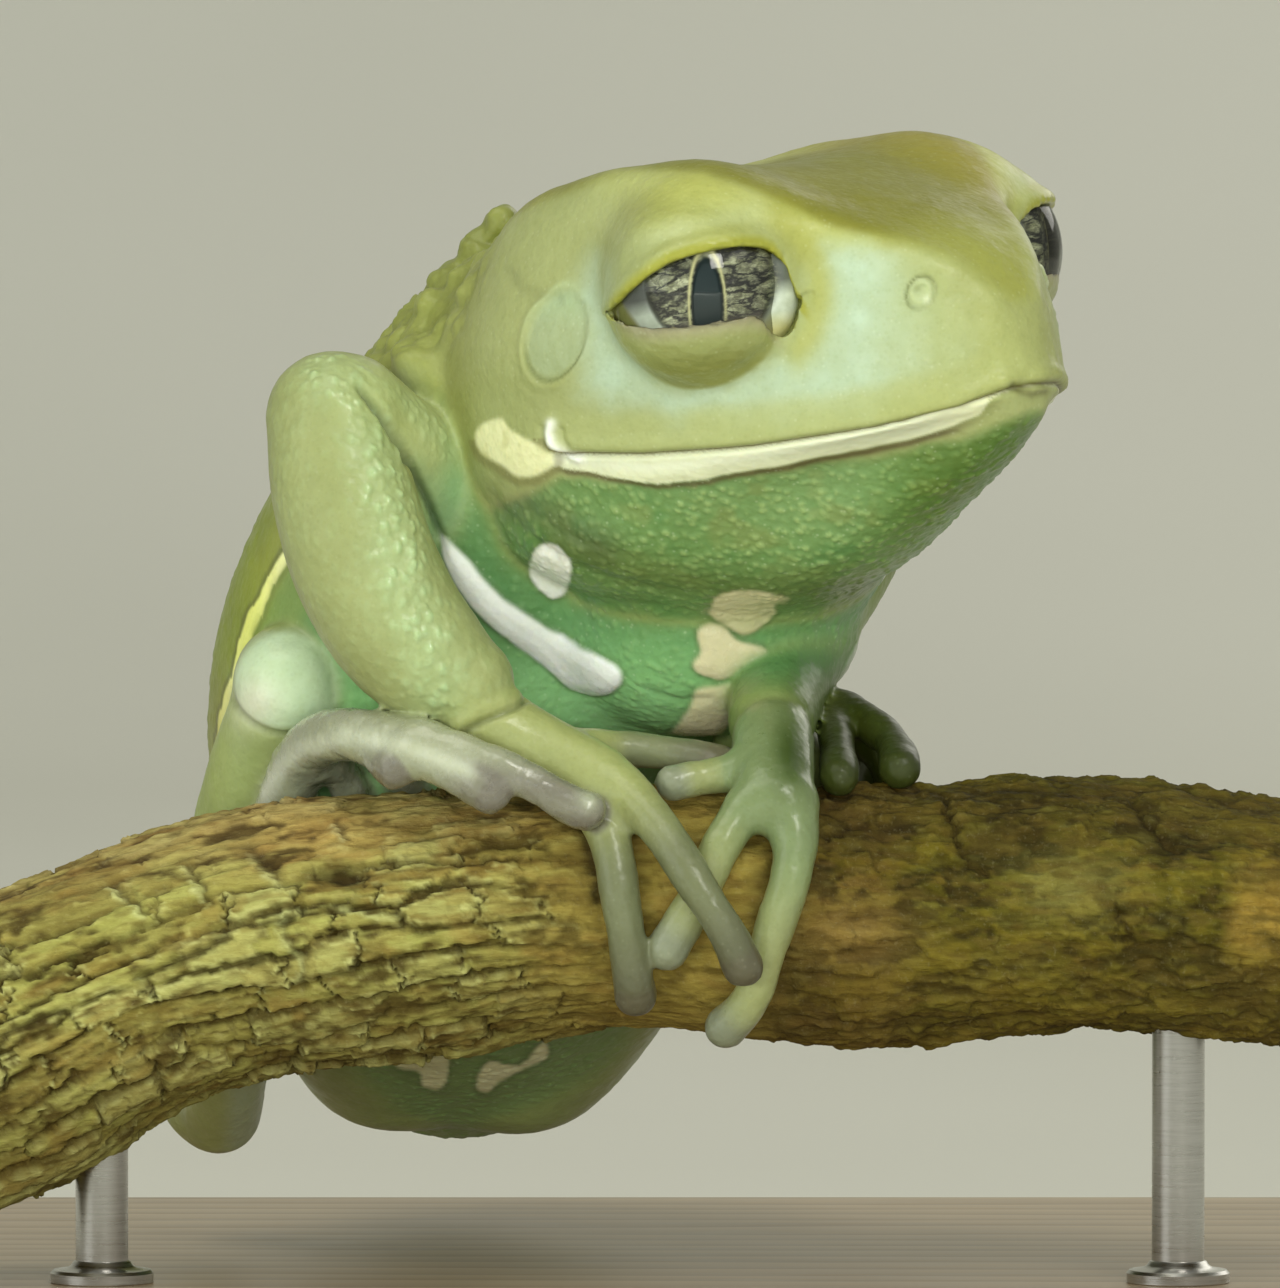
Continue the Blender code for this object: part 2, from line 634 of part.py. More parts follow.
for tag in ("right", "left"):
    arm, leg = ARM[tag], LEG[tag]
    up = blob("upper_arm_" + tag, tube(arm["upper_arm"]), 0.45, 3, BUDGET["upper_arm"])
    fore = blob("forearm_" + tag, tube(arm["forearm"]), 0.45, 3, BUDGET["forearm"])
    hand_parts = tube(arm["palm"])
    for digit in arm["digits"]:
        hand_parts += tube(digit)
    hand = blob("hand_" + tag, hand_parts, 0.26, 2, BUDGET["hand"])
    part_from(up, nodes["head"], nodes["lower_jaw"])
    part_from(fore, up, nodes["head"], nodes["lower_jaw"])
    part_from(hand, fore, perch)
    thigh = blob("thigh_" + tag, tube(leg["thigh"]), 0.5, 3, BUDGET["thigh"])
    shank = blob("shank_" + tag, tube(leg["shank"]), 0.45, 3, BUDGET["shank"])
    tarsus = blob("tarsus_" + tag, tube(leg["tarsus"]), 0.35, 3, BUDGET["tarsus"])
    foot_parts = tube(leg["sole"])
    for digit in leg["digits"]:
        foot_parts += tube(digit)
    foot = blob("foot_" + tag, foot_parts, 0.26, 2, BUDGET["foot"])
    part_from(shank, thigh, perch)
    part_from(tarsus, shank, thigh, perch)
    part_from(foot, tarsus, shank, perch, hand, fore)
    for ob in (up, fore, hand, thigh, shank, tarsus, foot):
        nodes[ob.name] = ob
part_from(nodes["hand_left"], nodes["hand_right"])
part_from(nodes["foot_left"], nodes["hand_left"], nodes["forearm_left"], nodes["thigh_left"])
part_from(nodes["foot_right"], nodes["thigh_right"])
part_from(nodes["thigh_left"], nodes["forearm_left"])
part_from(nodes["thigh_left"], nodes["thigh_right"])

# ------------------------------------------------------------------ neck and trunk
TRUNK_STATIONS = [
    # x,    y,    z,    half width, half depth, yaw
    (0.8,   5.6,  25.2,  8.8,  7.8, 44.0),
    (-1.9,  9.0,  21.8, 10.7,  8.8, 36.0),
    (-5.2, 12.4,  16.4, 11.9,  9.7, 29.0),
    (-7.1, 15.4,  10.0, 12.9, 10.4, 24.0),
    (-7.7, 21.0,   3.4, 12.3,  9.9, 20.0),
    (-8.0, 27.6,  -1.8, 10.5,  8.8, 16.0),
    (-8.5, 33.6,  -5.4,  8.4,  7.3, 13.0),
    (-9.0, 37.6,  -7.5,  6.2,  5.6, 12.0),
]


def trunk_rings(per_station=3, count=32):
    rows = [np.array(r) for r in TRUNK_STATIONS]
    rings = []
    steps = (len(rows) - 1) * per_station
    for s in range(steps + 1):
        t = s / per_station
        row = catmull(rows, min(t, len(rows) - 1.0001))
        a = catmull(rows, min(t + 0.1, len(rows) - 1.0001))[:3]
        b = catmull(rows, max(t - 0.1, 0.0))[:3]
        tan = Vector(a - b).normalized()
        yaw = math.radians(row[5])
        side = Vector((math.cos(yaw), math.sin(yaw), 0.0))
        side = (side - tan * side.dot(tan)).normalized()
        back = tan.cross(side).normalized()
        if back.y < 0:
            back = -back
        ring = []
        for k in range(count):
            w = 2 * math.pi * k / count
            cy, cz = math.cos(w), math.sin(w)
            # slightly square shoulders between flank and back
            f = 1.0 + 0.05 * math.sin(2 * w) ** 2
            p = Vector(row[:3]) + side * (row[3] * cy * f) + back * (row[4] * cz * f)
            ring.append(place(p))
        rings.append(ring)
    return rings


BREAST_CENTRE = (2.6, 7.2, 13.2)
BREAST_RADII = (7.2, 7.2, 5.6)          # sideways, forwards, up
DEWLAP_CENTRE = (4.3, 6.0, 15.8)        # loose skin under the throat
DEWLAP_RADII = (7.0, 6.6, 3.4)
_b = math.radians(36.0)
BREAST_AXES = ((math.cos(_b), math.sin(_b), 0.0), (math.sin(_b), -math.cos(_b), 0.0), (0.0, 0.0, 1.0))

trunk_parts = [ring_loft(trunk_rings())]
first, last = TRUNK_STATIONS[0], TRUNK_STATIONS[-1]
trunk_parts.append(ellipsoid(last[:3], (last[3], last[4], last[4])))
# gland swelling behind each ear and the shoulders' own flesh
trunk_parts.append(ellipsoid((-4.4, 8.6, 24.8), (4.4, 5.0, 4.0)))
trunk_parts.append(ellipsoid((2.6, 13.4, 24.4), (4.6, 5.0, 3.8)))
# full breast under the throat, over the root of the far arm
trunk_parts.append(ellipsoid(BREAST_CENTRE, BREAST_RADII, axes=BREAST_AXES))
trunk_parts.append(ellipsoid(DEWLAP_CENTRE, DEWLAP_RADII, axes=BREAST_AXES))
trunk = blob("trunk", trunk_parts, 0.55, 5, BUDGET["trunk"])

near = [nodes[n] for n in ("head", "lower_jaw", "upper_arm_right", "upper_arm_left",
                           "forearm_right", "forearm_left", "thigh_right", "thigh_left",
                           "shank_right", "shank_left", "tarsus_right", "tarsus_left",
                           "foot_left", "foot_right", "hand_left", "hand_right", "perch")]
part_from(trunk, *near, gap=GAP + 0.12)

# a thin slab across the spine just behind the head parts the neck from the trunk
NECK_CUT = (-2.2, 9.4, 20.6)
NECK_NORMAL = Vector((-0.34, 0.42, -0.84)).normalized()
slab = bmesh.new()
bmesh.ops.create_cube(slab, size=1.0)
bmesh.ops.scale(slab, vec=(60 * MM, 60 * MM, GAP * MM), verts=slab.verts)
bmesh.ops.rotate(slab, matrix=NECK_NORMAL.to_track_quat("Z", "Y").to_matrix(), verts=slab.verts)
bmesh.ops.translate(slab, vec=place(NECK_CUT), verts=slab.verts)
me = bpy.data.meshes.new("slab")
slab.to_mesh(me)
slab.free()
cut(trunk, [me], split=True)
bm = bmesh.new()
bm.from_mesh(trunk.data)
bmesh.ops.remove_doubles(bm, verts=bm.verts, dist=5e-7)
groups = sorted(islands_of(bm), key=lambda f: -abs(volume_of(f)))[:2]
bm.verts.index_update()
rear, front = (subset(bm, {v.index for f in g for v in f.verts}) for g in groups)
bm.free()
trunk.data = rear
nodes["trunk"] = tidy(trunk)
nodes["neck"] = tidy(as_object("neck", front))

# ------------------------------------------------------------------ stand
bm = bmesh.new()
bmesh.ops.create_cube(bm, size=1.0)
bmesh.ops.scale(bm, vec=(BASE_WIDTH * MM, BASE_DEPTH * MM, BASE_THICK * MM), verts=bm.verts)
bmesh.ops.translate(bm, vec=(0.0, 0.0, BASE_THICK * MM / 2), verts=bm.verts)
uprights = [e for e in bm.edges if abs(e.verts[0].co.z - e.verts[1].co.z) > 0.5 * BASE_THICK * MM]
bmesh.ops.bevel(bm, geom=uprights, offset=BASE_CORNER * MM, segments=6, affect="EDGES", profile=0.5)
rim = [e for e in bm.edges if min(v.co.z for v in e.verts) > (BASE_THICK - 0.01) * MM
       and len([f for f in e.link_faces if abs(f.normal.z) > 0.9]) == 1]
bmesh.ops.bevel(bm, geom=rim, offset=0.9 * MM, segments=2, affect="EDGES", profile=0.5)
me = bpy.data.meshes.new("stand_base")
bm.to_mesh(me)
bm.free()
nodes["stand_base"] = tidy(as_object("stand_base", me))

for sign, tag in ((-1, "left"), (1, "right")):
    z, r = perch_at(sign * ROD_X)
    bottom = BASE_THICK + GAP
    top = PERCH_HEIGHT + z - r * 0.55
    bpy.ops.mesh.primitive_cylinder_add(vertices=20, radius=ROD_RADIUS * MM, depth=(top - bottom) * MM,
                                        location=(sign * ROD_X * MM, -PERCH_FORWARD * MM,
                                                  (top + bottom) / 2 * MM))
    rod = bpy.context.object
    rod.name = "stand_rod_" + tag
    rod.data.transform(rod.matrix_world)
    rod.matrix_world = Matrix.Identity(4)
    for c in list(rod.users_collection):
        c.objects.unlink(rod)
    model.objects.link(rod)
    tidy(rod)
    part_from(rod, perch)
    nodes[rod.name] = rod

for name, ob in nodes.items():
    limit = next((FINAL[k] for k in FINAL if name == k or name.startswith(k + "_")), None)
    if limit and triangles(ob.data) > limit:
        full = ob.data.copy()
        m = ob.modifiers.new("thin", "DECIMATE")
        m.ratio = limit / triangles(ob.data)
        m.use_collapse_triangulate = True
        baked(ob)
        tidy(ob)
        bm = bmesh.new()
        bm.from_mesh(ob.data)
        if not is_closed(bm):
            ob.data = full
        bm.free()
    if name.startswith("eye"):
        slot = "eye"
    elif name == "perch":
        slot = "bark"
    elif name == "stand_base":
        slot = "stand_wood"
    elif name.startswith("stand_rod"):
        slot = "stand_steel"
    elif name == "lower_jaw":
        slot = "skin_throat"
    else:
        slot = "skin_green"
    finish(ob, slot)
    ob.name = name
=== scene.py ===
"""Looks of the waxy monkey tree frog on its perch and display stand.

All working lengths are millimetres in the perch frame (x right along the perch,
y behind it, z above its axis); world() turns them into metres.  The frog's flesh
is one skin, polygonised from signed distances of the same forms as the solids.
"""
import bpy
import math
import numpy as np
import openvdb as vdb
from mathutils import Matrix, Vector

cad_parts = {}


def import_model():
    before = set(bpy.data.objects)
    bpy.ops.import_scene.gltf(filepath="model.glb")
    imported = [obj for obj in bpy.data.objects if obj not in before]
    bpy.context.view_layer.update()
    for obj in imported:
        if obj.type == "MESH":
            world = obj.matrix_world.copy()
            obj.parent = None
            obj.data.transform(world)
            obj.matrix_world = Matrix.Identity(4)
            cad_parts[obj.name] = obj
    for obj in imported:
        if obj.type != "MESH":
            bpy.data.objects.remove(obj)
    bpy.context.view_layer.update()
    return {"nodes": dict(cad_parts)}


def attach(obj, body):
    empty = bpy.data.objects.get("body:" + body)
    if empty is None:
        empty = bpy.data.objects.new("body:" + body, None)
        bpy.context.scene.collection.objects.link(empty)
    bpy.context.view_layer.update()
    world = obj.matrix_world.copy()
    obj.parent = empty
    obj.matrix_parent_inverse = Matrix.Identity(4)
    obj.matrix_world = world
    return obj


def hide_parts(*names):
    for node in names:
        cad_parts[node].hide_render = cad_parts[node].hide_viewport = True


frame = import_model()

MM = 0.001
PERCH_FORWARD = 14.0
PERCH_HEIGHT = 21.5
VOXEL = 0.25
BAND = 2.6                     # how far the signed distances are true

scene = bpy.context.scene


def world(p):
    return (np.asarray(p, float) + np.array([0.0, -PERCH_FORWARD, PERCH_HEIGHT])) * MM


# =============================================================== camera
# The view is a long lens two degrees above the perch; 22 drawing units are one
# millimetre at the perch's axis, and the drawing's centre is (640, 644).
CAM_DISTANCE = 550.0
CAM_ELEVATION = math.radians(2.0)
AIM = np.array([0.0, 0.0, (910.0 - 644.0) / 22.0])
CAM = AIM + np.array([0.0, -math.cos(CAM_ELEVATION), math.sin(CAM_ELEVATION)]) * CAM_DISTANCE
LOOK = (AIM - CAM) / CAM_DISTANCE
CAM_UP = np.cross(np.array([1.0, 0.0, 0.0]), LOOK)

cam_data = bpy.data.cameras.new("camera")
cam = bpy.data.objects.new("camera", cam_data)
scene.collection.objects.link(cam)
cam.location = Vector(world(CAM))
cam.rotation_euler = Vector(LOOK).to_track_quat("-Z", "Y").to_euler()
cam_data.sensor_fit = "HORIZONTAL"
cam_data.sensor_width = 36.0
cam_data.lens = 36.0 * CAM_DISTANCE / (1280.0 / 22.0)
cam_data.clip_start = 0.01
cam_data.clip_end = 10.0
scene.camera = cam


def front(p):
    """Front drawing coordinates (right, down) of points in the perch frame."""
    v = np.asarray(p, float) - CAM
    depth = v @ LOOK
    return (640.0 + 22.0 * v[:, 0] * CAM_DISTANCE / depth,
            644.0 - 22.0 * (v @ CAM_UP) * CAM_DISTANCE / depth)


# =============================================================== small maths
def smooth(lo, hi, v):
    t = np.clip((np.asarray(v, float) - lo) / (hi - lo), 0.0, 1.0)
    return t * t * (3.0 - 2.0 * t)


def bell(v, width):
    return np.exp(-(np.asarray(v, float) / width) ** 2)


def hashed(i, j, k, seed):
    """Repeatable random numbers in 0..1 at whole-number places."""
    h = (i.astype(np.int64) * 374761393 + j.astype(np.int64) * 668265263
         + k.astype(np.int64) * 2147483647 + seed * 1274126177) & 0xFFFFFFFF
    h = ((h ^ (h >> 13)) * 1274126177) & 0xFFFFFFFF
    h = ((h ^ (h >> 16)) * 2246822519) & 0xFFFFFFFF
    return ((h ^ (h >> 15)) & 0xFFFFFF) / float(0xFFFFFF)


def noise(p, size, seed=0):
    """Smooth value noise in -1..1; size is the cell in millimetres (a number or one per axis)."""
    q = np.asarray(p, float) / np.asarray(size, float)
    i = np.floor(q).astype(np.int64)
    f = q - i
    f = f * f * f * (f * (f * 6 - 15) + 10)
    out = 0.0
    for a in (0, 1):
        wa = f[:, 0] if a else 1 - f[:, 0]
        for b in (0, 1):
            wb = f[:, 1] if b else 1 - f[:, 1]
            for c in (0, 1):
                wc = f[:, 2] if c else 1 - f[:, 2]
                out = out + wa * wb * wc * hashed(i[:, 0] + a, i[:, 1] + b, i[:, 2] + c, seed)
    return out * 2.0 - 1.0


def fbm(p, size, octaves=3, seed=0, fall=0.5):
    out, amp, total = 0.0, 1.0, 0.0
    size = np.asarray(size, float)
    for o in range(octaves):
        out = out + amp * noise(p, size / (2.0 ** o), seed + 17 * o)
        total += amp
        amp *= fall
    return out / total


def cells(p, size, seed=0, jitter=0.9):
    """Distances to the nearest and second nearest cell points, and the nearest cell's own number."""
    q = np.asarray(p, float) / np.asarray(size, float)
    i = np.floor(q).astype(np.int64)
    f1 = np.full(len(q), 9.0)
    f2 = np.full(len(q), 9.0)
    own = np.zeros(len(q))
    for a in (-1, 0, 1):
        for b in (-1, 0, 1):
            for c in (-1, 0, 1):
                ii, jj, kk = i[:, 0] + a, i[:, 1] + b, i[:, 2] + c
                px = ii + 0.5 + jitter * (hashed(ii, jj, kk, seed) - 0.5)
                py = jj + 0.5 + jitter * (hashed(ii, jj, kk, seed + 1) - 0.5)
                pz = kk + 0.5 + jitter * (hashed(ii, jj, kk, seed + 2) - 0.5)
                d = np.sqrt((q[:, 0] - px) ** 2 + (q[:, 1] - py) ** 2 + (q[:, 2] - pz) ** 2)
                near = d < f1
                f2 = np.where(near, f1, np.minimum(f2, d))
                own = np.where(near, hashed(ii, jj, kk, seed + 3), own)
                f1 = np.where(near, d, f1)
    return f1, f2, own


def to_polyline(u, v, pts):
    """Distance of 2D points to an open line of points, and how far along it (0..1) they lie."""
    best = np.full(len(u), 1e9)
    along = np.zeros(len(u))
    pts = np.asarray(pts, float)
    lengths = np.hypot(*(pts[1:] - pts[:-1]).T)
    run, total = 0.0, lengths.sum()
    for a, b, ln in zip(pts[:-1], pts[1:], lengths):
        t = np.clip(((u - a[0]) * (b[0] - a[0]) + (v - a[1]) * (b[1] - a[1])) / (ln * ln), 0, 1)
        d = np.hypot(u - a[0] - t * (b[0] - a[0]), v - a[1] - t * (b[1] - a[1]))
        near = d < best
        best = np.where(near, d, best)
        along = np.where(near, (run + t * ln) / total, along)
        run += ln
    return best, along


def to_polygon(u, v, pts):
    """Signed distance of 2D points to a closed outline, negative inside."""
    pts = np.asarray(pts, float)
    d, _ = to_polyline(u, v, np.vstack([pts, pts[:1]]))
    inside = np.zeros(len(u), bool)
    n = len(pts)
    for k in range(n):
        x1, y1 = pts[k]
        x2, y2 = pts[(k + 1) % n]
        if y1 == y2:
            continue
        cross = ((y1 > v) != (y2 > v)) & (u < (x2 - x1) * (v - y1) / (y2 - y1) + x1)
        inside ^= cross
    return np.where(inside, -d, d)


def catmull(values, t):
    n = len(values)
    i = min(int(t), n - 2)
    f = t - i
    p0 = values[max(i - 1, 0)]
    p1, p2 = values[i], values[i + 1]
    p3 = values[min(i + 2, n - 1)]
    return 0.5 * ((2 * p1) + (p2 - p0) * f + (2 * p0 - 5 * p1 + 4 * p2 - p3) * f * f
                  + (3 * p1 - p0 - 3 * p2 + p3) * f ** 3)


def unit(v):
    v = np.asarray(v, float)
    return v / np.linalg.norm(v)


# =============================================================== head frame
HEAD_YAW, HEAD_PITCH, HEAD_ROLL = 45.0, 6.9, 5.4
JAW_ORIGIN = np.array([3.8, 2.6, 22.1])
EYE_CENTRE = (8.6, 8.9, 6.0)
EYE_RADIUS = 4.1
EYE_AXIS_SIDE = 46.0
LID_RADIUS = 4.36

_ya, _pi, _ro = (math.radians(a) for a in (HEAD_YAW, HEAD_PITCH, HEAD_ROLL))
FWD = np.array([math.sin(_ya) * math.cos(_pi), -math.cos(_ya) * math.cos(_pi), math.sin(_pi)])
_left = np.array([math.cos(_ya), math.sin(_ya), 0.0])
_up = np.cross(FWD, _left)
_up = _up if _up[2] > 0 else -_up
LEFT = _left * math.cos(_ro) + _up * math.sin(_ro)
UP = _up * math.cos(_ro) - _left * math.sin(_ro)


def head_point(x, y, z):
    return JAW_ORIGIN + FWD * x + LEFT * y + UP * z


def to_head(p):
    v = np.asarray(p, float) - JAW_ORIGIN
    return v @ FWD, v @ LEFT, v @ UP


def head_twin(hx, hy, hz):
    """The place on the head's right side that mirrors a point of either side."""
    return (JAW_ORIGIN + hx[:, None] * FWD - np.abs(hy)[:, None] * LEFT + hz[:, None] * UP)


def eye_frame(side):
    a = math.radians(EYE_AXIS_SIDE)
    out = unit(FWD * math.cos(a) + LEFT * (side * math.sin(a)))
    up = unit(UP - out * (UP @ out))
    ahead = np.cross(up, out) * -side        # towards the snout
    x, y, z = EYE_CENTRE
    return head_point(x, side * y, z), out, ahead, up


MOUTH_X = (-12.0, -4.0, 0.0, 5.0, 10.0, 15.0, 18.0, 19.6, 26.0)
MOUTH_Z = (-2.2, -1.0, -0.2, -0.9, -1.3, -1.3, -1.0, -0.4, -0.2)


def mouth_height(x):
    return np.interp(x, MOUTH_X, MOUTH_Z)


HEAD_STATIONS = [
    # x,    crown, ridge y,z,    cheek y,z,   lip y,z,      jaw y,z,     throat
    (-8.5,  7.0,   5.6, 6.6,     8.0, 4.0,    8.0, -0.6,    6.2, -3.4,   -4.8),
    (-6.5,  9.6,   6.8, 9.2,     9.8, 4.6,   10.0, -0.5,    8.0, -4.6,   -6.6),
    (-3.5, 10.9,   7.4, 11.0,   11.0, 4.8,   11.0, -0.3,    9.2, -5.2,   -8.0),
    (0.0,  11.1,   7.9, 11.6,   11.5, 4.8,   11.2, -0.3,    9.1, -5.3,   -8.6),
    (4.0,  11.2,   8.1, 11.7,   11.1, 4.8,   10.7, -0.9,    8.0, -4.9,   -8.6),
    (8.0,  11.0,   7.8, 11.3,   10.0, 4.5,    9.6, -1.2,    6.5, -4.0,   -7.7),
    (12.0,  9.6,   6.4, 9.2,     7.8, 4.0,    7.7, -1.3,    5.1, -2.8,   -5.8),
    (15.5,  7.8,   4.6, 7.2,     5.5, 3.4,    5.5, -1.2,    3.7, -2.0,   -4.1),
    (18.0,  6.0,   2.8, 5.4,     3.7, 2.7,    3.6, -0.8,    2.3, -1.5,   -2.6),
    (19.1,  4.4,   1.7, 4.0,     2.2, 2.2,    2.2, -0.6,    1.5, -1.2,   -1.8),
]


def head_section(row, count):
    x, crown, ry, rz, cy, cz, ly, lz, jy, jz, throat = row
    half = [(0.0, crown), (ry * 0.52, crown * 0.55 + rz * 0.45 + 0.08), (ry, rz),
            (ry * 0.35 + cy * 0.65, rz * 0.45 + cz * 0.55), (cy, cz),
            (max(cy, ly) * 1.005, (cz + lz) * 0.5), (ly, lz),
            (ly * 0.6 + jy * 0.4, lz * 0.55 + jz * 0.45), (jy, jz),
            (jy * 0.55, throat * 0.80 + jz * 0.20), (0.0, throat)]
    pts = np.array(half + [(-y, z) for y, z in half[-2:0:-1]])
    n = len(pts)
    out = []
    for k in range(count):
        t = k * n / count
        i = int(t)
        f = t - i
        p0, p1, p2, p3 = (pts[(i + d) % n] for d in (-1, 0, 1, 2))
        out.append(0.5 * (2 * p1 + (p2 - p0) * f + (2 * p0 - 5 * p1 + 4 * p2 - p3) * f * f
                          + (3 * p1 - p0 - 3 * p2 + p3) * f ** 3))
    return np.array(out)


def head_rings(per=10, count=120):
    rows = [np.array(r) for r in HEAD_STATIONS]
    rings = []
    steps = (len(rows) - 1) * per
    for s in range(steps + 1):
        row = catmull(rows, min(s / per, len(rows) - 1.0001))
        sec = head_section(row, count)
        rings.append(JAW_ORIGIN + FWD * row[0] + sec[:, :1] * LEFT + sec[:, 1:] * UP)
    tip = rows[-1]
    sec = head_section(tip, count)
    for f, ahead in ((0.90, 0.16), (0.72, 0.35), (0.38, 0.6), (0.12, 0.68)):
        rings.append(JAW_ORIGIN + FWD * (tip[0] + ahead) + (sec[:, :1] * f) * LEFT
                     + (1.2 + (sec[:, 1:] - 1.2) * f) * UP)
    return rings


TRUNK_STATIONS = [
    # x,    y,    z,    half width, half depth, yaw
    (0.8,   5.6,  25.2,  8.8,  7.8, 44.0),
    (-1.9,  9.0,  21.8, 10.7,  8.8, 36.0),
    (-5.2, 12.4,  16.4, 11.9,  9.7, 29.0),
    (-7.1, 15.4,  10.0, 12.9, 10.4, 24.0),
    (-7.7, 21.0,   3.4, 12.3,  9.9, 20.0),
    (-8.0, 27.6,  -1.8, 10.5,  8.8, 16.0),
    (-8.5, 33.6,  -5.4,  8.4,  7.3, 13.0),
    (-9.0, 37.6,  -7.5,  6.2,  5.6, 12.0),
]


def trunk_frames(per):
    """Centre, sideways, backwards and along vectors and half sizes down the spine."""
    rows = [np.array(r) for r in TRUNK_STATIONS]
    out = []
    steps = (len(rows) - 1) * per
    for s in range(steps + 1):
        t = s / per
        row = catmull(rows, min(t, len(rows) - 1.0001))
        a = catmull(rows, min(t + 0.1, len(rows) - 1.0001))[:3]
        b = catmull(rows, max(t - 0.1, 0.0))[:3]
        tan = unit(a - b)
        yaw = math.radians(row[5])
        side = np.array([math.cos(yaw), math.sin(yaw), 0.0])
        side = unit(side - tan * (side @ tan))
        back = unit(np.cross(tan, side))
        back = back if back[1] > 0 else -back
        out.append((row, tan, side, back))
    return out


def trunk_rings(per=8, count=96):
    rings = []
    w = 2 * np.pi * np.arange(count) / count
    for row, tan, side, back in trunk_frames(per):
        f = 1.0 + 0.05 * np.sin(2 * w) ** 2
        rings.append(row[:3] + (row[3] * np.cos(w) * f)[:, None] * side
                     + (row[4] * np.sin(w) * f)[:, None] * back)
    return rings


# =============================================================== signed distances
LO = np.array([-24.6, -16.2, -15.8])
HI = np.array([23.6, 46.6, 38.2])
SHAPE = np.ceil((HI - LO) / VOXEL).astype(int) + 1


class Field:
    """Signed distances in millimetres on a box of the common grid."""

    def __init__(self, lo, hi):
        self.i0 = np.maximum(np.floor((np.asarray(lo) - LO) / VOXEL).astype(int), 0)
        self.i1 = np.minimum(np.ceil((np.asarray(hi) - LO) / VOXEL).astype(int) + 1, SHAPE)
        self.d = np.full(tuple(self.i1 - self.i0), BAND, np.float32)

    def box(self):
        return tuple(slice(a, b) for a, b in zip(self.i0, self.i1))

    def coords(self, i0=None, i1=None):
        i0 = self.i0 if i0 is None else i0
        i1 = self.i1 if i1 is None else i1
        return [(LO[k] + VOXEL * np.arange(i0[k], i1[k])).astype(np.float32).reshape(
            [-1 if m == k else 1 for m in range(3)]) for k in range(3)]

    def at(self, p):
        """Value at points, trilinear; far outside the box it is the band's width."""
        q = (np.asarray(p, float) - LO) / VOXEL - self.i0
        n = np.array(self.d.shape)
        ok = np.all((q >= 0) & (q < n - 1), axis=1)
        out = np.full(len(q), BAND)
        q = q[ok]
        i = q.astype(int)
        f = q - i
        v = 0.0
        for a in (0, 1):
            wa = f[:, 0] if a else 1 - f[:, 0]
            for b in (0, 1):
                wb = f[:, 1] if b else 1 - f[:, 1]
                for c in (0, 1):
                    wc = f[:, 2] if c else 1 - f[:, 2]
                    v = v + wa * wb * wc * self.d[i[:, 0] + a, i[:, 1] + b, i[:, 2] + c]
        out[ok] = v
        return out


def chain(q):
    """Rounded tube through (x, y, z, radius) points."""
    q = np.asarray(q, float)
    xyz, r = q[:, :3], q[:, 3]
    f = Field((xyz - r[:, None]).min(0) - BAND, (xyz + r[:, None]).max(0) + BAND)
    for a, b, ra, rb in zip(xyz[:-1], xyz[1:], r[:-1], r[1:]):
        m = max(ra, rb) + BAND
        i0 = np.maximum(np.floor((np.minimum(a, b) - m - LO) / VOXEL).astype(int), f.i0)
        i1 = np.minimum(np.ceil((np.maximum(a, b) + m - LO) / VOXEL).astype(int) + 1, f.i1)
        x, y, z = f.coords(i0, i1)
        ba = b - a
        t = np.clip(((x - a[0]) * ba[0] + (y - a[1]) * ba[1] + (z - a[2]) * ba[2]) / (ba @ ba), 0, 1)
        d = np.sqrt((x - a[0] - t * ba[0]) ** 2 + (y - a[1] - t * ba[1]) ** 2
                    + (z - a[2] - t * ba[2]) ** 2) - (ra + (rb - ra) * t)
        view = f.d[tuple(slice(p - o, s - o) for p, s, o in zip(i0, i1, f.i0))]
        np.minimum(view, d, out=view)
    return f


def egg(centre, radii, axes=None):
    """Stretched ball; the distance is exact only near its surface."""
    centre, radii = np.asarray(centre, float), np.asarray(radii, float)
    axes = np.eye(3) if axes is None else np.array([unit(a) for a in axes])
    m = radii.max() + BAND
    f = Field(centre - m, centre + m)
    x, y, z = f.coords()
    v = [(x - centre[0]) * a[0] + (y - centre[1]) * a[1] + (z - centre[2]) * a[2] for a in axes]
    k0 = np.sqrt(sum((c / r) ** 2 for c, r in zip(v, radii)))
    k1 = np.sqrt(sum((c / (r * r)) ** 2 for c, r in zip(v, radii))) + 1e-6
    f.d = (k0 * (k0 - 1.0) / k1).astype(np.float32)
    return f


def loft(rings):
    """Signed distances of a closed form lofted through rings."""
    pts = np.vstack([np.vstack(rings), rings[0].mean(0), rings[-1].mean(0)])
    n, m = len(rings[0]), len(rings)
    k = np.arange(n)
    quads = []
    for r in range(m - 1):
        quads.append(np.stack([r * n + k, r * n + (k + 1) % n, (r + 1) * n + (k + 1) % n,
                               (r + 1) * n + k], 1))
    quads = np.vstack(quads)
    caps = np.vstack([np.stack([(k + 1) % n, k, np.full(n, m * n)], 1),
                      np.stack([(m - 1) * n + k, (m - 1) * n + (k + 1) % n,
                                np.full(n, m * n + 1)], 1)])
    f = Field(pts.min(0) - BAND, pts.max(0) + BAND)
    g = vdb.FloatGrid.createLevelSetFromPolygons(
        (pts - LO).astype(np.float32), triangles=caps.astype(np.uint32),
        quads=quads.astype(np.uint32), transform=vdb.createLinearTransform(voxelSize=VOXEL),
        halfWidth=BAND / VOXEL)
    g.copyToArray(f.d, ijk=tuple(int(v) for v in f.i0))
    return f


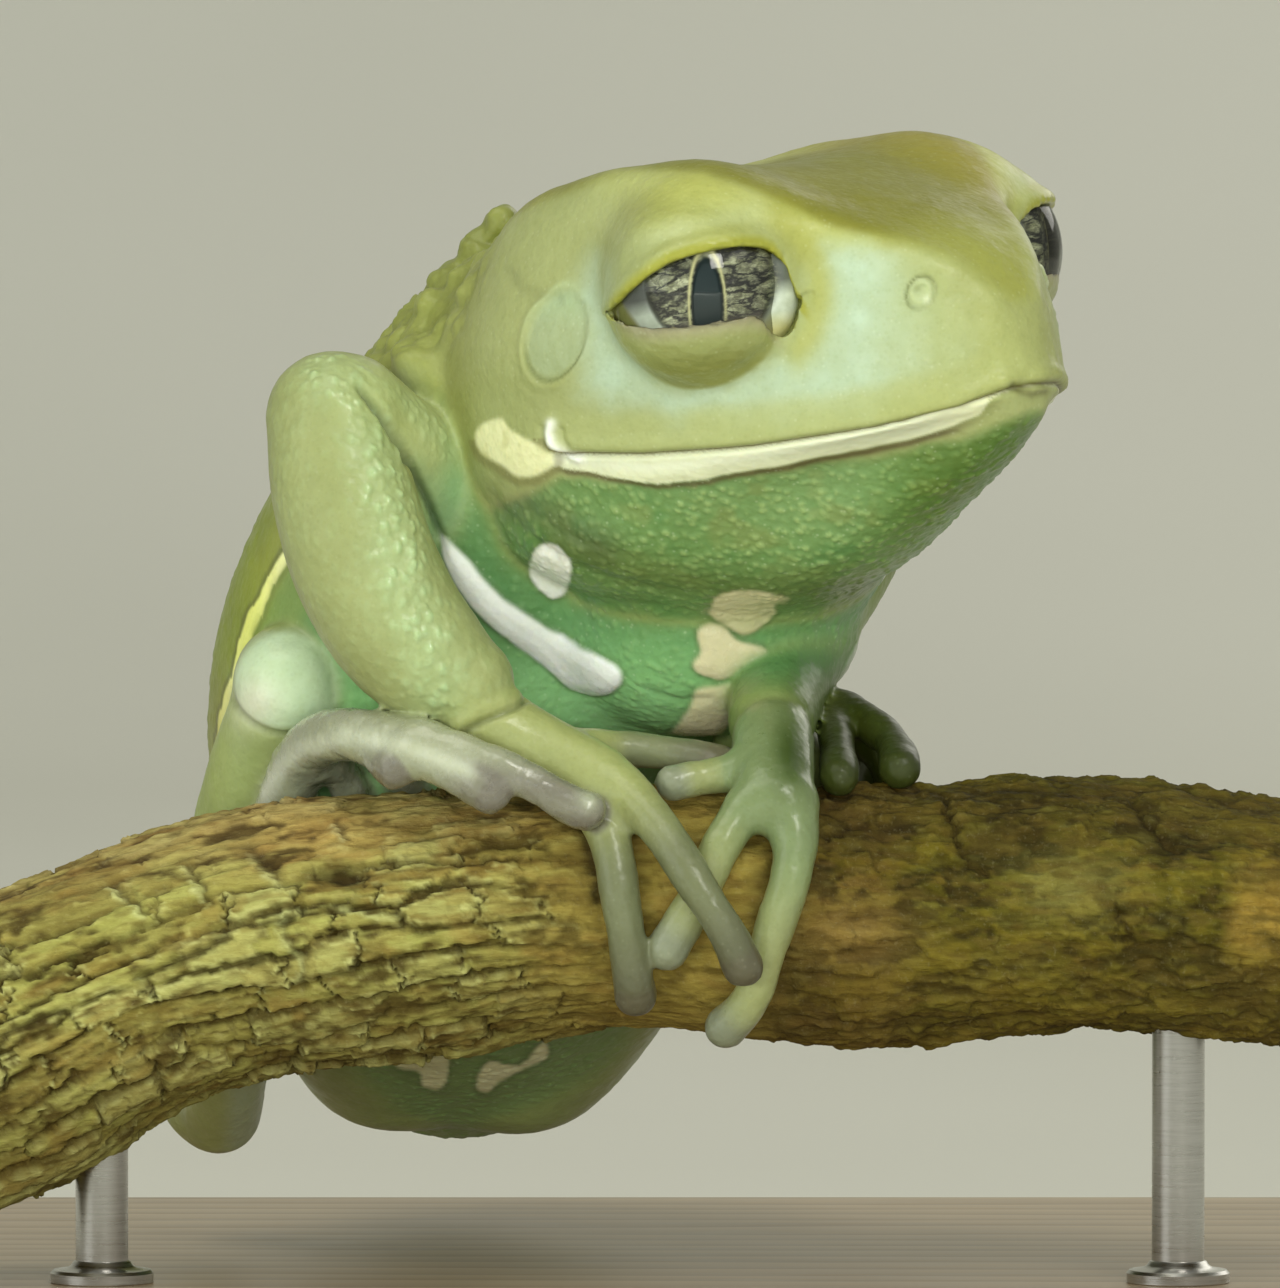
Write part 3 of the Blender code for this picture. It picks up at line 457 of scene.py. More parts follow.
def auto_curve(path, per=8):
    """Points (x, y, z, radius) along the smooth curve that auto handles give a route."""
    q = np.asarray(path, float)
    p, r = q[:, :3], q[:, 3]
    n = len(p)
    left, right = p.copy(), p.copy()
    for i in range(n):
        a = p[i] - p[i - 1] if i else p[1] - p[0]
        b = p[i + 1] - p[i] if i < n - 1 else p[-1] - p[-2]
        la, lb = np.linalg.norm(a), np.linalg.norm(b)
        t = b / lb + a / la
        ln = np.linalg.norm(t) * 2.5614
        left[i] = p[i] - t * la / ln
        right[i] = p[i] + t * lb / ln
    out = []
    for i in range(n - 1):
        for s in range(per):
            t = s / per
            c = ((1 - t) ** 3 * p[i] + 3 * (1 - t) ** 2 * t * right[i]
                 + 3 * (1 - t) * t * t * left[i + 1] + t ** 3 * p[i + 1])
            out.append((*c, float(catmull(list(r), i + t))))
    out.append((*p[-1], r[-1]))
    return np.array(out)


def smin(a, b, k):
    """Union whose crease is filled over the width k."""
    k = np.maximum(k, 1e-3)
    h = np.maximum(k - np.abs(a - b), 0.0) / k
    return np.minimum(a, b) - h * h * k * 0.25


def smax(a, b, k):
    return -smin(-a, -b, k)


BODY = np.full(tuple(SHAPE), BAND, np.float32)
GRID = Field(LO, HI)


def add(field, k):
    """Unite a field with the body. k is a width, or a function of the coordinates that gives it."""
    sl = field.box()
    width = k(*field.coords()) if callable(k) else k
    BODY[sl] = smin(BODY[sl], field.d, width)


def near_point(p, inner, outer, reach):
    """Crease width that is inner close to a point and outer further than reach from it."""
    def width(x, y, z):
        d = np.sqrt((x - p[0]) ** 2 + (y - p[1]) ** 2 + (z - p[2]) ** 2)
        t = np.clip(d / reach, 0, 1)
        return inner + (outer - inner) * t * t * (3 - 2 * t)
    return width


# --------------------------------------------------------------- limbs' routes
ARM = {
    "right": dict(
        upper_arm=[(-6.9, 7.8, 17.2, 4.0), (-9.4, 4.1, 18.8, 3.4), (-11.7, 0.6, 20.9, 2.95),
                   (-13.3, -1.3, 22.5, 2.8)],
        forearm=[(-13.9, -1.4, 22.4, 3.05), (-13.4, -2.4, 18.9, 3.25), (-12.0, -2.9, 14.8, 3.3),
                 (-10.1, -3.0, 12.0, 3.05), (-7.9, -3.2, 10.4, 2.25)],
        palm=[(-7.4, -3.3, 9.0, 1.9), (-5.0, -3.6, 7.6, 1.75), (-2.7, -4.2, 6.5, 1.65)],
        digits=[
            [(-2.6, -4.4, 6.3, 1.35), (-1.4, -6.2, 3.6, 1.0), (-0.8, -7.1, 0.5, 0.9),
             (-0.4, -6.9, -2.2, 0.88), (-0.2, -6.3, -3.5, 1.0)],
            [(-1.6, -4.6, 6.2, 1.35), (0.4, -6.8, 4.6, 1.0), (2.6, -8.9, 1.5, 0.88),
             (4.0, -9.2, -0.7, 0.86), (4.6, -9.0, -2.0, 0.98)],
            [(-2.8, -2.5, 7.3, 1.1), (-0.8, -1.7, 7.4, 0.85), (1.6, -1.8, 7.15, 0.8),
             (3.5, -2.2, 6.75, 0.92)],
            [(-4.2, -2.4, 7.5, 1.2), (-3.6, 1.8, 7.4, 0.9), (-3.2, 4.9, 5.6, 0.85),
             (-3.0, 6.6, 2.9, 0.95)],
        ]),
    "left": dict(
        upper_arm=[(2.4, 14.5, 14.6, 3.9), (6.6, 14.2, 16.4, 3.2), (10.0, 13.0, 17.6, 2.7)],
        forearm=[(10.1, 12.6, 17.4, 2.6), (9.1, 10.2, 15.2, 2.5), (7.4, 6.9, 12.5, 2.35),
                 (6.3, 2.8, 10.0, 2.25), (6.0, -0.6, 8.6, 2.0)],
        palm=[(6.0, -2.2, 7.8, 1.85), (6.1, -3.9, 6.4, 1.8), (6.2, -5.2, 5.2, 1.6)],
        digits=[
            [(5.6, -5.0, 5.6, 1.3), (4.1, -6.1, 4.0, 0.95), (2.5, -6.9, 0.8, 0.88),
             (1.2, -6.8, -1.4, 1.0)],
            [(6.8, -5.3, 5.0, 1.3), (6.9, -6.5, 2.6, 1.0), (5.9, -7.0, -0.8, 0.88),
             (4.9, -6.2, -3.8, 0.86), (3.9, -5.3, -5.0, 1.0)],
            [(5.0, -3.6, 6.5, 1.05), (3.2, -3.8, 6.25, 0.8), (1.5, -4.2, 5.95, 0.86)],
            [(6.3, -2.6, 7.2, 1.2), (6.6, 2.0, 7.3, 0.9), (6.6, 5.0, 5.2, 0.85),
             (6.5, 6.7, 2.4, 0.95)],
        ]),
}

LEG = {
    "right": dict(
        thigh=[(-12.0, 31.0, -7.4, 4.9), (-13.9, 24.5, -3.6, 5.0), (-15.2, 17.0, 2.2, 4.4),
               (-15.7, 10.3, 7.9, 3.2), (-15.9, 6.6, 10.1, 2.8)],
        shank=[(-16.0, 6.2, 9.6, 2.6), (-17.5, 9.8, 5.2, 2.7), (-18.9, 14.6, -0.8, 2.7),
               (-20.0, 19.6, -6.9, 2.35), (-20.3, 22.4, -10.2, 2.35)],
        tarsus=[(-19.9, 21.3, -10.8, 2.0), (-19.1, 16.0, -8.2, 1.7), (-18.0, 10.8, -3.2, 1.6),
                (-16.9, 7.9, 1.6, 1.5)],
        sole=[(-16.8, 7.5, 2.2, 1.5), (-16.2, 5.3, 4.8, 1.35), (-15.4, 2.6, 6.9, 1.25),
              (-14.1, -0.4, 7.9, 1.25), (-12.2, -3.2, 8.0, 1.25), (-9.9, -5.2, 7.7, 1.2)],
        digits=[
            [(-9.8, -5.4, 7.8, 1.1), (-7.6, -6.6, 7.3, 0.88), (-5.2, -7.1, 6.3, 0.85),
             (-3.4, -7.4, 5.3, 0.85), (-2.4, -7.5, 4.9, 0.98)],
            [(-10.3, -5.2, 7.4, 1.05), (-8.7, -6.4, 6.7, 0.88), (-7.4, -7.0, 6.0, 0.88),
             (-6.8, -7.2, 5.6, 0.95)],
            [(-12.0, -3.2, 7.6, 1.0), (-11.5, -4.6, 7.0, 0.85), (-11.1, -5.3, 6.5, 0.85)],
            [(-14.9, 2.0, 7.3, 1.1), (-13.4, 5.2, 5.4, 0.85), (-12.7, 6.9, 2.6, 0.82),
             (-12.4, 7.2, 0.2, 0.95)],
            [(-13.0, 0.2, 8.0, 1.1), (-11.2, 4.4, 6.4, 0.85), (-10.0, 6.8, 3.4, 0.82),
             (-9.7, 7.3, 0.8, 0.95)],
        ]),
    "left": dict(
        thigh=[(-5.6, 31.6, -7.6, 4.9), (-2.3, 26.8, -4.0, 4.4), (3.4, 18.8, 1.0, 3.7),
               (5.8, 11.8, 4.9, 3.0), (5.9, 8.8, 6.7, 2.6)],
        shank=[(6.1, 8.8, 6.2, 2.5), (7.8, 13.5, 3.2, 2.8), (9.6, 19.0, 0.2, 2.8),
               (10.4, 24.8, -2.6, 2.3), (10.6, 28.4, -4.2, 2.2)],
        tarsus=[(10.9, 28.0, -5.2, 2.0), (12.3, 22.0, -5.0, 1.65), (12.4, 15.6, -3.0, 1.55),
                (11.4, 10.8, 1.6, 1.45)],
        sole=[(11.3, 10.2, 2.4, 1.45), (10.6, 8.7, 5.6, 1.25), (9.8, 7.2, 7.8, 1.15),
              (9.1, 5.4, 8.7, 1.1)],
        digits=[
            [(9.2, 5.6, 8.7, 1.05), (10.6, 3.0, 8.3, 0.85), (11.6, 0.6, 7.3, 0.85),
             (11.8, -1.4, 6.5, 0.98)],
            [(8.9, 5.2, 8.5, 1.0), (8.9, 2.2, 7.9, 0.82), (9.0, -0.8, 6.9, 0.85),
             (9.0, -2.6, 6.2, 0.95)],
            [(9.5, 6.2, 8.2, 1.0), (11.2, 5.2, 6.5, 0.82), (11.9, 5.8, 4.0, 0.85),
             (12.2, 6.8, 1.8, 0.95)],
            [(9.4, 6.6, 7.8, 1.0), (9.3, 7.6, 4.6, 0.82), (9.1, 7.3, 1.6, 0.85),
             (9.0, 7.0, -0.8, 0.95)],
            [(10.6, 8.4, 5.9, 1.0), (12.8, 8.3, 3.0, 0.82), (13.3, 7.3, 0.4, 0.85),
             (13.4, 6.9, -1.6, 0.95)],
        ]),
}

# --------------------------------------------------------------- perch form
PERCH_STATIONS = [
    # x,    z,    radius
    (-36.0, -8.6, 6.7), (-29.0, -6.0, 6.7), (-23.0, -3.6, 6.2), (-18.0, -2.0, 6.1),
    (-14.0, -1.1, 6.2), (-9.0, -0.4, 6.1), (-3.0, 0.1, 5.7), (5.0, 0.0, 5.8),
    (13.0, -0.1, 5.8), (21.0, -0.1, 5.8), (29.0, -0.4, 5.7), (35.0, -0.6, 5.7),
]
_rows = [np.array(s) for s in PERCH_STATIONS]
_dense = np.array([catmull(_rows, t) for t in np.linspace(0, len(_rows) - 1.0001, 400)])


def perch_at(x):
    return np.interp(x, _dense[:, 0], _dense[:, 1]), np.interp(x, _dense[:, 0], _dense[:, 2])


def perch_relief(x, a):
    return (0.20 * np.sin(0.31 * x + 1.7 * np.sin(a)) + 0.16 * np.sin(3 * a + 0.17 * x)
            + 0.12 * np.sin(5 * a - 0.29 * x + 1.1) - 0.12)


def perch_distance(x, y, z):
    """Distance above the bark's mean surface."""
    zc, r = perch_at(x)
    zc1, _ = perch_at(x + 0.5)
    slope = np.cos(np.arctan((zc1 - zc) / 0.5))
    a = np.arctan2(z - zc, y)
    return (np.sqrt(y * y + ((z - zc) * slope) ** 2) - r - perch_relief(x, a))


# =============================================================== build the flesh
PARTS = {}


def keep(name, field):
    PARTS[name] = field
    return field


head = keep("head", loft(head_rings()))
BODY[head.box()] = head.d

# eyelids: a thin shell of skin over each ball, creased against the cheek below and
# running softly into the brow above
for side in (1, -1):
    c, out, ahead, up = eye_frame(side)
    shell = egg(c, (LID_RADIUS,) * 3)

    def lid_width(x, y, z, c=c, up=up):
        h = (x - c[0]) * up[0] + (y - c[1]) * up[1] + (z - c[2]) * up[2]
        t = np.clip((h + 1.0) / 4.5, 0, 1)
        return 0.85 + 2.4 * t * t * (3 - 2 * t)
    add(shell, lid_width)

trunk = keep("trunk", loft(trunk_rings()))


def neck_width(x, y, z):
    h = (x - JAW_ORIGIN[0]) * UP[0] + (y - JAW_ORIGIN[1]) * UP[1] + (z - JAW_ORIGIN[2]) * UP[2]
    t = np.clip((h + 1.0) / 6.0, 0, 1)
    return 0.5 + 2.0 * t * t * (3 - 2 * t)


last = TRUNK_STATIONS[-1]
_b = math.radians(36.0)
breast = egg((2.6, 7.2, 13.2), (7.2, 7.2, 5.6),
             ((math.cos(_b), math.sin(_b), 0.0), (math.sin(_b), -math.cos(_b), 0.0), (0.0, 0.0, 1.0)))
rump = egg(last[:3], (last[3], last[4], last[4]))
add(trunk, neck_width)
add(rump, 2.2)
add(keep("breast", breast), 1.3)
# loose skin under the throat
dewlap = egg((4.3, 6.0, 15.8), (7.0, 6.6, 3.4),
             ((math.cos(_b), math.sin(_b), 0.0), (math.sin(_b), -math.cos(_b), 0.0), (0.0, 0.0, 1.0)))
add(keep("dewlap", dewlap), 2.2)
# gland swellings behind the ears and the flesh over the shoulders
for c, r, k in (((-4.4, 8.6, 24.8), (4.4, 5.0, 4.0), 1.6), ((2.6, 13.4, 24.4), (4.6, 5.0, 3.8), 2.0)):
    add(keep("gland_%d" % len(PARTS), egg(c, r)), k)

# folds of loose skin between the ear drum and the shoulder, and warts down the nape
for c, r, ax, k in (
        ((-8.9, 3.6, 23.9), (2.9, 2.2, 1.5), ((0.86, -0.10, -0.50), (0.10, 0.99, 0.0), (0.50, 0.0, 0.86)), 0.7),
        ((-6.6, 1.6, 22.0), (2.2, 1.6, 1.2), ((0.86, -0.10, -0.50), (0.10, 0.99, 0.0), (0.50, 0.0, 0.86)), 0.6),
        ((-10.1, 8.4, 26.4), (1.25, 1.5, 1.2), None, 0.45), ((-9.0, 6.0, 26.9), (1.3, 1.2, 1.2), None, 0.5),
        ((-8.7, 8.6, 28.2), (1.2, 1.5, 1.35), None, 0.45), ((-7.6, 6.2, 28.5), (1.2, 1.2, 1.2), None, 0.5),
        ((-7.4, 8.8, 29.9), (1.1, 1.5, 1.1), None, 0.5), ((-8.0, 4.2, 26.0), (1.1, 0.9, 0.9), None, 0.45),
        ((-6.2, 9.0, 31.0), (1.1, 1.6, 1.0), None, 0.6), ((-11.0, 10.2, 24.8), (1.0, 1.5, 0.9), None, 0.5),
        ((-5.0, 12.4, 30.2), (1.3, 1.2, 1.0), None, 0.6), ((-3.4, 15.0, 29.6), (1.3, 1.2, 1.0), None, 0.6),
        ((-7.6, 12.8, 27.4), (1.3, 1.2, 1.2), None, 0.6), ((-1.2, 16.4, 28.6), (1.3, 1.0, 1.1), None, 0.6),
        ((-9.4, 13.0, 25.0), (1.2, 1.1, 1.0), None, 0.6), ((1.6, 17.0, 28.0), (1.3, 1.0, 1.0), None, 0.6)):
    add(egg(c, r, ax), k)

JOINTS = {"right": dict(elbow=(-13.9, -1.0, 22.6), wrist=(-7.6, -3.2, 9.6), knee=(-16.0, 6.4, 9.9),
                        heel=(-20.3, 22.4, -10.4), ankle=(-16.9, 7.7, 1.9)),
          "left": dict(elbow=(10.1, 12.9, 17.6), wrist=(6.0, -0.6, 8.6), knee=(6.0, 8.8, 6.4),
                       heel=(10.7, 28.4, -4.6), ankle=(11.3, 10.5, 2.0))}
DIGITS = []
for tag in ("right", "left"):
    arm, leg, jt = ARM[tag], LEG[tag], JOINTS[tag]
    add(keep("thigh_" + tag, chain(auto_curve(leg["thigh"]))),
        near_point(leg["thigh"][0][:3], 1.8, 0.15, 20.0))
    add(keep("upper_arm_" + tag, chain(auto_curve(arm["upper_arm"]))),
        near_point(arm["upper_arm"][0][:3], 1.8, 0.35, 7.0))
    add(keep("forearm_" + tag, chain(auto_curve(arm["forearm"]))),
        near_point(jt["elbow"], 0.5, 0.10, 3.4) if tag == "right" else near_point((6.8, 5.2, 11.6), 2.4, 0.35, 5.5))
    add(keep("shank_" + tag, chain(auto_curve(leg["shank"]))),
        near_point(jt["knee"], 1.0, 0.16, 4.5))
    add(keep("tarsus_" + tag, chain(auto_curve(leg["tarsus"]))),
        near_point(jt["heel"], 1.0, 0.16, 4.0))

for tag in ("left", "right"):
    arm, leg, jt = ARM[tag], LEG[tag], JOINTS[tag]
    for limb, base, digits in (("foot", leg["sole"], leg["digits"]), ("hand", arm["palm"], arm["digits"])):
        whole = None
        for n, route in enumerate([base] + digits):
            q = auto_curve(route)
            if n:
                # knuckles: slight swellings along each digit and a fuller pad at its tip
                s = np.linspace(0, 1, len(q))
                q[:, 3] += 0.05 * np.sin(s * math.pi * 3.0 + 0.6) ** 2 * np.minimum(1, s * 4) - 0.02
                DIGITS.append((limb + "_" + tag, q))
            f = chain(q)
            if whole is None:
                lo = np.array([np.array(r)[:, :3].min(0) for r in [base] + digits]).min(0) - 2.0 - BAND
                hi = np.array([np.array(r)[:, :3].max(0) for r in [base] + digits]).max(0) + 2.0 + BAND
                whole = Field(lo, hi)
            sl = tuple(slice(a - o, b - o) for a, b, o in zip(np.maximum(f.i0, whole.i0),
                                                              np.minimum(f.i1, whole.i1), whole.i0))
            fs = tuple(slice(a - o, b - o) for a, b, o in zip(np.maximum(f.i0, whole.i0),
                                                              np.minimum(f.i1, whole.i1), f.i0))
            whole.d[sl] = smin(whole.d[sl], f.d[fs], 0.55 if n else 0.1)
        joint = jt["wrist"] if limb == "hand" else jt["ankle"]
        blend = (0.18 if tag == "right" else 0.7) if limb == "hand" else 0.8
        add(keep(limb + "_" + tag, whole), near_point(joint, blend, 0.06, 2.6))

# --------------------------------------------------------------- openings of the lids
# Edges of the lids in the plane across each eye's axis: ahead (mm), up (mm).
LID_UP = np.array([(-4.6, -0.80), (-4.25, -0.45), (-3.6, -0.02), (-2.9, 0.48), (-2.1, 0.94), (-1.2, 1.32),
                   (0.0, 1.55), (1.2, 1.62), (2.2, 1.58), (3.0, 1.38), (3.5, 1.00), (3.8, 0.45),
                   (4.0, -0.4), (4.15, -1.2), (4.6, -2.0)])
LID_LOW = np.array([(-4.6, -0.70), (-4.25, -0.50), (-3.5, -0.86), (-2.6, -1.20), (-1.4, -1.34),
                    (0.0, -1.40), (1.2, -1.36), (2.1, -1.32), (2.6, -1.52), (2.95, -2.15), (3.2, -2.50),
                    (3.45, -2.48), (3.75, -2.0), (4.0, -1.45), (4.15, -1.2), (4.6, -1.0)])


def lid_edges(u):
    return np.interp(u, LID_UP[:, 0], LID_UP[:, 1]), np.interp(u, LID_LOW[:, 0], LID_LOW[:, 1])


for side in (1, -1):
    c, out, ahead, up = eye_frame(side)
    # rolled rim of the upper lid and the thin rim of the lower one
    for edge, rad, lift, k in ((LID_UP[1:-2], 0.24, 0.10, 0.8), (LID_LOW[1:-3], 0.08, -0.06, 0.3)):
        route = []
        for u, v in edge:
            v = v + (0.20 if rad > 0.2 else -0.12)
            w = math.sqrt(max(EYE_RADIUS ** 2 - u * u - v * v, 0.15))
            p = c + (ahead * u + up * v + out * w) * ((EYE_RADIUS + lift) / EYE_RADIUS)
            taper = 0.45 + 0.55 * float(smooth(0.0, 1.6, min(u + 4.3, 4.2 - u) + 0.35))
            route.append((*p, rad * taper))
        add(chain(auto_curve(route, 5)), k)
    # shallow pocket in front of the ball, inside the lids' edges
    pocket = Field(c - 5.4, c + 5.4)
    x, y, z = pocket.coords()
    v3 = [(x - c[0]) * a[0] + (y - c[1]) * a[1] + (z - c[2]) * a[2] for a in (ahead, up, out)]
    hi_e = np.interp(v3[0], LID_UP[:, 0], LID_UP[:, 1])
    lo_e = np.interp(v3[0], LID_LOW[:, 0], LID_LOW[:, 1])
    rad = np.sqrt(v3[0] ** 2 + v3[1] ** 2 + v3[2] ** 2)
    inside = np.maximum(np.maximum(v3[1] - hi_e, lo_e - v3[1]) * 0.85,
                        np.maximum(v3[0] - 4.2, -v3[0] - 4.4))
    across = np.sqrt((v3[0] - 0.5) ** 2 + (v3[1] - 0.15) ** 2)
    floor_w = np.where(across < 3.3, 1.5, 3.5 - rad + v3[2])
    inside = np.maximum(inside, floor_w - v3[2])
    inside = np.maximum(inside, 0.4 - v3[2])
    sl = pocket.box()
    BODY[sl] = smax(BODY[sl], -inside, 0.12)

# --------------------------------------------------------------- keep off the bark
x, y, z = GRID.coords()
sl = tuple(slice(a, b) for a, b in (
    (0, SHAPE[0]), (int((-9.0 - LO[1]) / VOXEL), int((9.0 - LO[1]) / VOXEL)),
    (0, int((9.5 - LO[2]) / VOXEL))))
BODY[sl] = smax(BODY[sl], 0.03 - perch_distance(x[sl[0]], y[:, sl[1]], z[:, :, sl[2]]).astype(np.float32), 0.08)


# =============================================================== mesh from the distances
def drop_small_islands(n_points, quads):
    """Keep the largest connected skin only."""
    label = np.arange(n_points)
    edges = np.vstack([quads[:, [0, 1]], quads[:, [1, 2]], quads[:, [2, 3]], quads[:, [3, 0]]])
    while True:
        low = np.minimum(label[edges[:, 0]], label[edges[:, 1]])
        new = label.copy()
        np.minimum.at(new, edges[:, 0], low)
        np.minimum.at(new, edges[:, 1], low)
        new = new[new]
        new = new[new]
        if np.array_equal(new, label):
            break
        label = new
    ids, counts = np.unique(label[quads[:, 0]], return_counts=True)
    return quads[label[quads[:, 0]] == ids[np.argmax(counts)]]


def signed_volume(p, q):
    a, b, c, d = (p[q[:, k]] for k in range(4))
    return (np.einsum("ij,ij->i", a, np.cross(b, c)) + np.einsum("ij,ij->i", a, np.cross(c, d))).sum() / 6


def quad_mesh(name, points_m, quads):
    me = bpy.data.meshes.new(name)
    me.vertices.add(len(points_m))
    me.vertices.foreach_set("co", np.ascontiguousarray(points_m, np.float32).ravel())
    me.loops.add(len(quads) * 4)
    me.loops.foreach_set("vertex_index", np.ascontiguousarray(quads, np.int32).ravel())
    me.polygons.add(len(quads))
    me.polygons.foreach_set("loop_start", np.arange(0, len(quads) * 4, 4, dtype=np.int32))
    me.polygons.foreach_set("use_smooth", np.ones(len(quads), bool))
    me.update(calc_edges=True)
    me.validate()
    return me


def relax(p, quads, rounds, push=0.5, pull=-0.52):
    """Take out the grid's steps without shrinking the form."""
    e = np.vstack([quads[:, [0, 1]], quads[:, [1, 2]], quads[:, [2, 3]], quads[:, [3, 0]]])
    e = np.unique(np.sort(e, 1), axis=0)
    n = len(p)
    deg = np.bincount(e.ravel(), minlength=n).astype(float)[:, None]
    for _ in range(rounds):
        for f in (push, pull):
            s = np.stack([np.bincount(e[:, 0], p[e[:, 1], k], n) + np.bincount(e[:, 1], p[e[:, 0], k], n)
                          for k in range(3)], 1)
            p = p + f * (s / np.maximum(deg, 1) - p)
    return p


def read_mesh(me):
    co = np.zeros(len(me.vertices) * 3, np.float32)
    me.vertices.foreach_get("co", co)
    no = np.zeros(len(me.vertices) * 3, np.float32)
    me.vertex_normals.foreach_get("vector", no)
    return co.reshape(-1, 3).astype(float), no.reshape(-1, 3).astype(float)


def perch_frame(co):
    return co / MM - np.array([0.0, -PERCH_FORWARD, PERCH_HEIGHT])


grid = vdb.FloatGrid(BAND)
grid.copyFromArray(np.clip(BODY, -BAND, BAND), ijk=(0, 0, 0), tolerance=0.0)
grid.transform = vdb.createLinearTransform(voxelSize=VOXEL)
grid.gridClass = vdb.GridClass.LEVEL_SET
points, quads = grid.convertToQuads(isovalue=0.0)
points = points.astype(float) + LO
quads = drop_small_islands(len(points), quads.astype(np.int64))
used, quads = np.unique(quads, return_inverse=True)
quads = quads.reshape(-1, 4)
points = points[used]
if signed_volume(points, quads) < 0:
    quads = quads[:, ::-1]
points = relax(points, quads, 3)
skin_mesh = quad_mesh("skin_coarse", world(points), quads)
skin = bpy.data.objects.new("skin", skin_mesh)
scene.collection.objects.link(skin)
sub = skin.modifiers.new("sub", "SUBSURF")
sub.levels = sub.render_levels = 1
dg = bpy.context.evaluated_depsgraph_get()
skin.data = bpy.data.meshes.new_from_object(skin.evaluated_get(dg))
skin.modifiers.clear()
skin.data.name = "skin"
print("SKIN faces", len(skin.data.polygons))

# =============================================================== skin: places and regions
co, N = read_mesh(skin.data)
P = perch_frame(co)
n_pts = len(P)
HX, HY, HZ = to_head(P)
FU, FV = front(P)                                   # front drawing
TU, TV = front(head_twin(HX, HY, HZ))               # the same for the head's right twin
facing = -(N @ LOOK)                                # 1 where the skin faces the front
side_sign = np.sign(HY)
Nh = np.stack([N @ FWD, N @ LEFT, N @ UP], 1)
Nt = Nh.copy()
Nt[:, 1] = -np.abs(Nh[:, 1]) * np.where(np.sign(Nh[:, 1]) * side_sign < 0, -1, 1)
twin_facing = -((Nt[:, :1] * FWD + Nt[:, 1:2] * LEFT + Nt[:, 2:] * UP) @ LOOK)

dist = {name: f.at(P) for name, f in PARTS.items()}
names = list(dist)
D = np.stack([dist[n] for n in names], 1)
share = np.exp(-np.clip(D - D.min(1, keepdims=True), 0, 4) / 0.22)
share /= share.sum(1, keepdims=True)
W = {n: share[:, i] for i, n in enumerate(names)}
w_head = W["head"]
for side in (1, -1):
    c, out, ahead, up = eye_frame(side)
    near_eye = smooth(5.6, 4.9, np.linalg.norm(P - c, axis=1))
    w_head = np.maximum(w_head, near_eye)
w_trunk = W["trunk"] + W["breast"] + W["dewlap"] + sum(W[n] for n in names if n.startswith("gland"))
w_trunk = w_trunk * (1 - w_head)

# spine coordinates: how far down the trunk (0..1), and the angle from the belly's middle
frames = trunk_frames(6)
C = np.array([f[0][:3] for f in frames])
best = np.full(n_pts, 1e9)
spine_t = np.zeros(n_pts)
belly = np.zeros(n_pts)
flank = np.zeros(n_pts)
for i, (row, tan, side_v, back_v) in enumerate(frames):
    v = P - C[i]
    d = np.abs(v @ tan) * 1.0 + 0.15 * np.linalg.norm(v, axis=1)
    near = d < best
    best = np.where(near, d, best)
    spine_t = np.where(near, i / (len(frames) - 1), spine_t)
    a = (v @ side_v) / row[3]
    b = (v @ back_v) / row[4]
    ang = np.degrees(np.arctan2(a, -b))             # 0 belly, +90 left flank, -90 right flank
    flank = np.where(near, ang, flank)


def twin_of_trunk():
    """Points of the breast's left half mirrored to its right half."""
    yaw = math.radians(38.0)
    s = np.array([math.cos(yaw), math.sin(yaw), 0.0])
    off = (P - np.array([4.0, 1.2, 12.0])) @ s
    return P - np.where(off > 0, 2 * off, 0.0)[:, None] * s


def rounded(outline, n=3):
    """Closed outline with its corners rounded."""
    p = np.array(outline, float)
    if np.allclose(p[0], p[-1]):
        p = p[:-1]
    out = []
    for i in range(len(p)):
        a, b, c, d = p[i - 1], p[i], p[(i + 1) % len(p)], p[(i + 2) % len(p)]
        for k in range(n):
            s = k / n
            out.append(0.5 * (2 * b + (c - a) * s + (2 * a - 5 * b + 4 * c - d) * s * s
                              + (3 * b - a - 3 * c + d) * s ** 3))
    return [tuple(x) for x in out]


def to_outline(u, v, outline):
    """Signed distance to a rounded outline, worked out only near it."""
    o = np.array(outline, float)
    near_it = ((u > o[:, 0].min() - 40) & (u < o[:, 0].max() + 40)
               & (v > o[:, 1].min() - 40) & (v < o[:, 1].max() + 40))
    d = np.full(len(u), 60.0)
    d[near_it] = to_polygon(u[near_it], v[near_it], rounded(outline))
    return d


CU, CV = front(twin_of_trunk())

# =============================================================== skin: relief
lift = np.zeros(n_pts)
wob = np.stack([fbm(P, 1.6, 2, 5), fbm(P, 1.6, 2, 9)], 1)       # gentle wander for outlines

# closed mouth: a fine groove, the upper lip standing a little over the lower one
dz = HZ - mouth_height(HX)
on_mouth = w_head * smooth(-0.9, 0.2, HX) * (np.abs(Nh[:, 2]) < 0.85) * smooth(-2.5, -1.0, HZ + 3.0 * 0)
on_mouth = w_head * smooth(-0.8, 0.3, HX)
lift -= on_mouth * 0.30 * bell(dz + 0.02, 0.14)
lift += on_mouth * 0.14 * bell(dz - 0.42, 0.38)
lift -= on_mouth * 0.10 * bell(dz + 0.5, 0.45)
# hooked fold of pale skin at each corner of the mouth
hook, _ = to_polyline(TU, TV, [(551, 424), (549, 433), (553, 443), (562, 452), (578, 460)])
w_hook = w_head * (twin_facing > 0.0)
lift += w_hook * 0.15 * bell(hook, 4.5)
lift -= w_hook * 0.14 * bell(to_polyline(TU, TV, [(561, 430), (562, 438), (568, 446)])[0], 3.0)
lift -= w_hook * 0.12 * bell(to_polyline(TU, TV, [(541, 428), (541, 440), (548, 452), (566, 462)])[0], 3.0)

